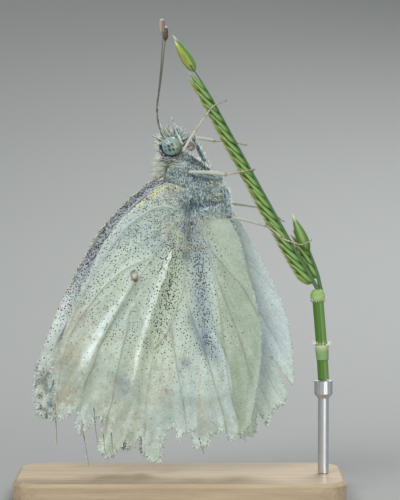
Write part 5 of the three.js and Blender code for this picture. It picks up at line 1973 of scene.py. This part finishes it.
def build_spikelet(bundle, foot, ahead, under, face, size, rng, last=False):
    """One spikelet: outer husk towards its own face, two inner ones that show their tips below.
    The spike's last one is wider, with white tips."""
    aside = np.array([0.0, face, 0.0])
    tip, wide = (tone(212, 216, 200), 1.45) if last else (tone(172, 184, 138), 1.0)
    green = tone(*(np.array([80, 114, 52]) * rng.uniform(0.9, 1.12)))
    lean = rng.uniform(0.22, 0.3)
    bundle.add(*husk(foot, unit(ahead + under * lean + aside * 0.1), unit(aside * 0.92 + under * 0.12),
                     2.5 * size, 0.25 * size * wide, 0.24 * size * wide, 0.35,
                     (green, tone(96, 130, 58), tone(130, 160, 96), tip)))
    low = foot + under * 0.18 + ahead * 0.1 - aside * 0.06
    bundle.add(*husk(low, unit(ahead + under * (lean + 0.1) + aside * 0.05),
                     unit(aside * 0.5 + under * 0.8), 2.1 * size, 0.19 * size * wide,
                     0.2 * size * wide, 0.5, (*(LAST_MIDDLE_HUSK if last else MIDDLE_HUSK), tip)))
    bundle.add(*husk(low + under * 0.12, unit(ahead + under * (lean + 0.2)), unit(under + aside * 0.3),
                     1.5 * size, 0.14 * size, 0.15 * size, 0.5, INNER_HUSK))


def build_spike(name, points, start, end, material):
    """Flat green axis with two rows of overlapping spikelets along its lower side. Returns the
    spike's surface."""
    line = smooth_line(points, 0.1)
    length = travelled(line)[-1]
    rng = np.random.default_rng(13)
    bundle = Bundle()
    share = shares(len(line))
    along = unit(np.gradient(line, axis=0))
    below = np.stack([-along[:, 2], np.zeros(len(line)), along[:, 0]], axis=1)

    def axis_look(part, turn):
        return coloured(len(part), (66, 100, 60), (np.sin(turn * 3.0) > 0.4, (82, 116, 74), 0.6))

    axis = line - below * (0.36 - 0.3 * smooth_step(0.75, 1.0, share))[:, None]
    shown = share < 0.9
    tinted_tube(bundle, axis[shown], (0.15 * (1.0 - share) + 0.05)[shown], axis_look, 14, 1.6)
    places = [*np.arange(start, end * length, SPIKELET_PITCH), length - 3.4]
    for number, place in enumerate(places):
        part = place / length
        ahead = unit(at_share(line, min(part + 0.02, 1.0)) - at_share(line, part - 0.02))
        under = np.array([-ahead[2], 0.0, ahead[0]])
        face = 1.0 if number % 2 else -1.0
        last = number == len(places) - 1
        root = at_share(line, part) - under * (0.24 - 0.2 * last) + np.array([0.0, face * 0.13, 0.0])
        if last:
            end_root = root + np.array([0.16, 0.0, 0.08])
            build_spikelet(bundle, end_root, ahead, under * 0.15, face, 1.58, rng, True)
        else:
            build_spikelet(bundle, root, ahead, under, face, 1.08 - 0.2 * part, rng)
    bundle.piece(name, "grass", material)
    return BVHTree.FromPolygons(np.vstack(bundle.points).tolist(), bundle.faces)


CULM_RIBS, CULM_RADIUS, RIB_DEPTH = 11, 0.5, 0.022
NODE_HALF = (0.68, 0.62, 0.74)
SHEATH_LINE = [(13.02, 0.0, 12.4), (12.99, 0.0, 12.9), (12.95, 0.0, 13.4), (12.92, 0.0, 13.75)]


def build_grass(hair):
    """The cut length of grass. Returns the surface of the spike that the feet hold."""
    made = tinted("grass_husk", (0.85, 1.15), 4.0, (10.0, 0.02),
                  roughness=0.5, specular=0.4, through=0.12).made
    husks = build_spike("grass_spike", SPIKE_LINE, 1.2, 0.815, made)
    build_spike("grass_stump", STUMP_LINE, 1.4, 0.6, made)
    bundle = Bundle()
    add_culm(bundle)
    knot, knot_faces = ellipsoid(SPIKE_LINE[0], NODE_HALF, 40, 26)
    swirl = value_noise(knot, 0.5, 2)
    low = smooth_step(-0.2, -0.6, knot[:, 2] - SPIKE_LINE[0][2])
    bundle.add(knot, knot_faces, coloured(len(knot), (128, 158, 92),
                                          (smooth_step(0.1, 0.6, swirl), (158, 176, 124), 0.7),
                                          (low, (96, 126, 70), 0.7)))
    sheath = smooth_line(SHEATH_LINE, 0.1)

    def sheath_look(part, turn):
        return coloured(len(part), (118, 148, 96), (smooth_step(0.5, 1.0, part), (178, 186, 150), 0.8))

    tinted_tube(bundle, sheath, np.linspace(0.56, 0.64, len(sheath)), sheath_look, 30)
    bundle.piece("grass_culm", "grass", made, ("perch_grass",))
    build_ligule(hair)
    return husks


def add_culm(bundle):
    """The ribbed culm, from its cut foot up to the node."""
    line = smooth_line(CULM_LINE, 0.12)
    sides = 4 * CULM_RIBS
    points, faces = tube(line, CULM_RADIUS, sides)
    turn, part = np.tile(angles_round(sides), len(line)), np.repeat(shares(len(line)), sides)
    centre = np.repeat(line, sides, axis=0)
    ribs = 1.0 + RIB_DEPTH * np.cos(turn * CULM_RIBS)
    points[:-2] = centre + (points[:-2] - centre) * ribs[:, None]
    # Paler ribs, and a painted highlight down one side of the culm.
    tint = coloured(len(part), (66, 104, 36),
                    (np.cos(turn * CULM_RIBS) > 0.2, (86, 124, 46), 0.6),
                    (np.sin(turn - 0.6) > 0.75, (116, 148, 84), 0.5))
    bundle.add(points, faces, np.vstack([tint, [tone(150, 160, 110)] * 2]))


def build_ligule(hair):
    """Fringes of pale hairs at the sheath's collar and below the node."""
    rng = np.random.default_rng(29)
    coat = Coat(rng)
    radius, sunk = 0.6, 0.92
    for centre, count, length in (((12.93, 0.0, 13.7), 90, 0.5), ((12.6, 0.0, 17.75), 50, 0.45)):
        turn = rng.uniform(0.0, FULL_TURN, count)
        out = np.stack([np.cos(turn), np.sin(turn), np.zeros(count)], axis=1)
        roots = np.asarray(centre) + out * radius * sunk + rng.normal(0.0, 0.04, (count, 3))
        ways = unit(out * 0.7 + np.array([-0.05, 0.0, 1.0]) + rng.normal(0.0, 0.2, (count, 3)))
        looks = choose(rng, count, tones((214, 218, 196), (176, 180, 140), (140, 116, 96)), [4, 3, 1])
        unwrap = np.stack([0.1 + 0.8 * turn / 6.3, np.full(count, 0.5)], axis=1)
        coat.grow(roots, ways, out, length, 0.03, looks, unwrap, 0.5)
    coat.piece("grass_ligule", "grass", hair)


# ---------------------------------------------------------------- stand

def finish_stand():
    """Maple board and brushed steel rod on the frame's own solids."""
    maple = Finish("maple", roughness=0.5, specular=0.35, coat=0.15)
    grain = maple.noise(1.6, 6.0, 0.65, maple.place((0.06, 1.0, 1.0)))
    ramp = maple.nodes.new("ShaderNodeValToRGB")
    dark_end, pale_end = ramp.color_ramp.elements
    dark_end.position, dark_end.color = 0.3, (*tone(140, 122, 98), 1.0)
    pale_end.position, pale_end.color = 0.7, (*tone(164, 148, 122), 1.0)
    maple.links.new(grain, ramp.inputs["Fac"])
    maple.set_colour(ramp.outputs["Color"])
    maple.bump(grain, 0.03)
    steel = Finish("brushed_steel", roughness=0.32, metallic=1.0)
    steel.surface.inputs["Base Color"].default_value = (0.62, 0.63, 0.64, 1.0)
    scratches = steel.noise(14.0, 2.0, 0.5, steel.place((1.0, 1.0, 0.05)))
    steel.links.new(steel.spread(scratches, 0.26, 0.42), steel.surface.inputs["Roughness"])
    steel.bump(scratches, 0.004)
    for node, finish in (("stand_base", maple), ("stand_rod", steel)):
        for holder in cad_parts[node].material_slots:
            holder.material = finish.made


def build_animal(hair, husks):
    """Everything of the animal but its body and wings."""
    build_eyes(hair)
    horn = tinted("horny_parts", (0.85, 1.15), 7.0, (16.0, 0.008), roughness=0.5, specular=0.4).made
    for side in SIDES:
        build_antenna(side, horn)
        build_palp(side, horn, hair)
    build_tongue()
    for name in LEG_LINES:
        build_leg(name, horn, hair, husks)


# ---------------------------------------------------------------- stage, light and camera

def put_in_scene(name, data):
    """A new object that shows the data."""
    made = bpy.data.objects.new(name, data)
    bpy.context.scene.collection.objects.link(made)
    return made


def aim(thing, place, target):
    """Puts a lamp or the camera at a place and turns it to look at the target."""
    thing.location = place
    thing.rotation_euler = (target - place).to_track_quat("-Z", "Y").to_euler()


def build_stage():
    """A pale floor that sweeps up behind."""
    paper = Finish("studio_paper", roughness=0.9, specular=0.2)
    paper.surface.inputs["Base Color"].default_value = (0.27, 0.28, 0.275, 1.0)
    width, front, depth, bend, height, steps = 1400.0, -900.0, 500.0, 420.0, 1200.0, 16
    profile = [(front, 0.0), (depth - bend, 0.0)]
    for k in range(1, steps + 1):
        turn = math.pi / 2 * k / steps
        profile.append((depth - bend + bend * math.sin(turn), bend * (1.0 - math.cos(turn))))
    profile.append((depth, height))
    points = [(x, y, z) for y, z in profile for x in (-width, width)]
    faces = [[2 * k, 2 * k + 1, 2 * k + 3, 2 * k + 2] for k in range(len(profile) - 1)]
    mesh = bpy.data.meshes.new("studio_floor")
    mesh.from_pydata((np.array(points) * MM).tolist(), [], faces)
    mesh.polygons.foreach_set("use_smooth", np.full(len(mesh.polygons), True))
    mesh.materials.append(paper.made)
    floor = put_in_scene("studio_floor", mesh)


# Of each lamp: its place, its width, its power and its colour.
LAMPS = {
    "key_light": ((-120.0, -200.0, 190.0), 140.0, 0.52, (1.0, 0.985, 0.965)),
    "fill_light": ((130.0, -240.0, 70.0), 220.0, 0.42, (0.98, 0.985, 1.0)),
    "back_light": ((60.0, 170.0, 190.0), 150.0, 0.55, (1.0, 1.0, 1.0)),
}
LAMP_TARGET = (1.8, 0.0, 22.0)
# The camera looks a little down on the middle of the model, as the photo's does.
CAMERA_TARGET, CAMERA_DISTANCE, CAMERA_RAISED, CAMERA_LENS = (1.82, 0.0, 22.45), 238.0, 3.0, 188.0


def build_light_and_camera():
    """Soft daylight, three lamps, and the photo's view of the model."""
    world = bpy.data.worlds.new("studio_air")
    world.use_nodes = True
    air = world.node_tree.nodes["Background"]
    air.inputs["Color"].default_value = (0.96, 0.98, 1.0, 1.0)
    air.inputs["Strength"].default_value = 0.55
    bpy.context.scene.world = world
    for name, (place, size, watts, colour) in LAMPS.items():
        data = bpy.data.lights.new(name, "AREA")
        data.shape = "DISK"
        data.size = size * MM
        data.energy = watts
        data.color = colour
        aim(put_in_scene(name, data), Vector(place) * MM, Vector(LAMP_TARGET) * MM)
    data = bpy.data.cameras.new("camera")
    data.lens = CAMERA_LENS
    data.sensor_width = 36.0
    data.clip_start = 0.01
    target, raised = Vector(CAMERA_TARGET) * MM, math.radians(CAMERA_RAISED)
    away = Vector((0.0, -math.cos(raised), math.sin(raised)))
    camera = put_in_scene("camera", data)
    aim(camera, target + away * (CAMERA_DISTANCE * MM), target)
    bpy.context.scene.camera = camera
    bpy.context.scene.view_settings.view_transform = "Standard"


body_hair = build_body()
build_animal(body_hair, build_grass(body_hair))
build_wings(body_hair)
finish_stand()
build_stage()
build_light_and_camera()
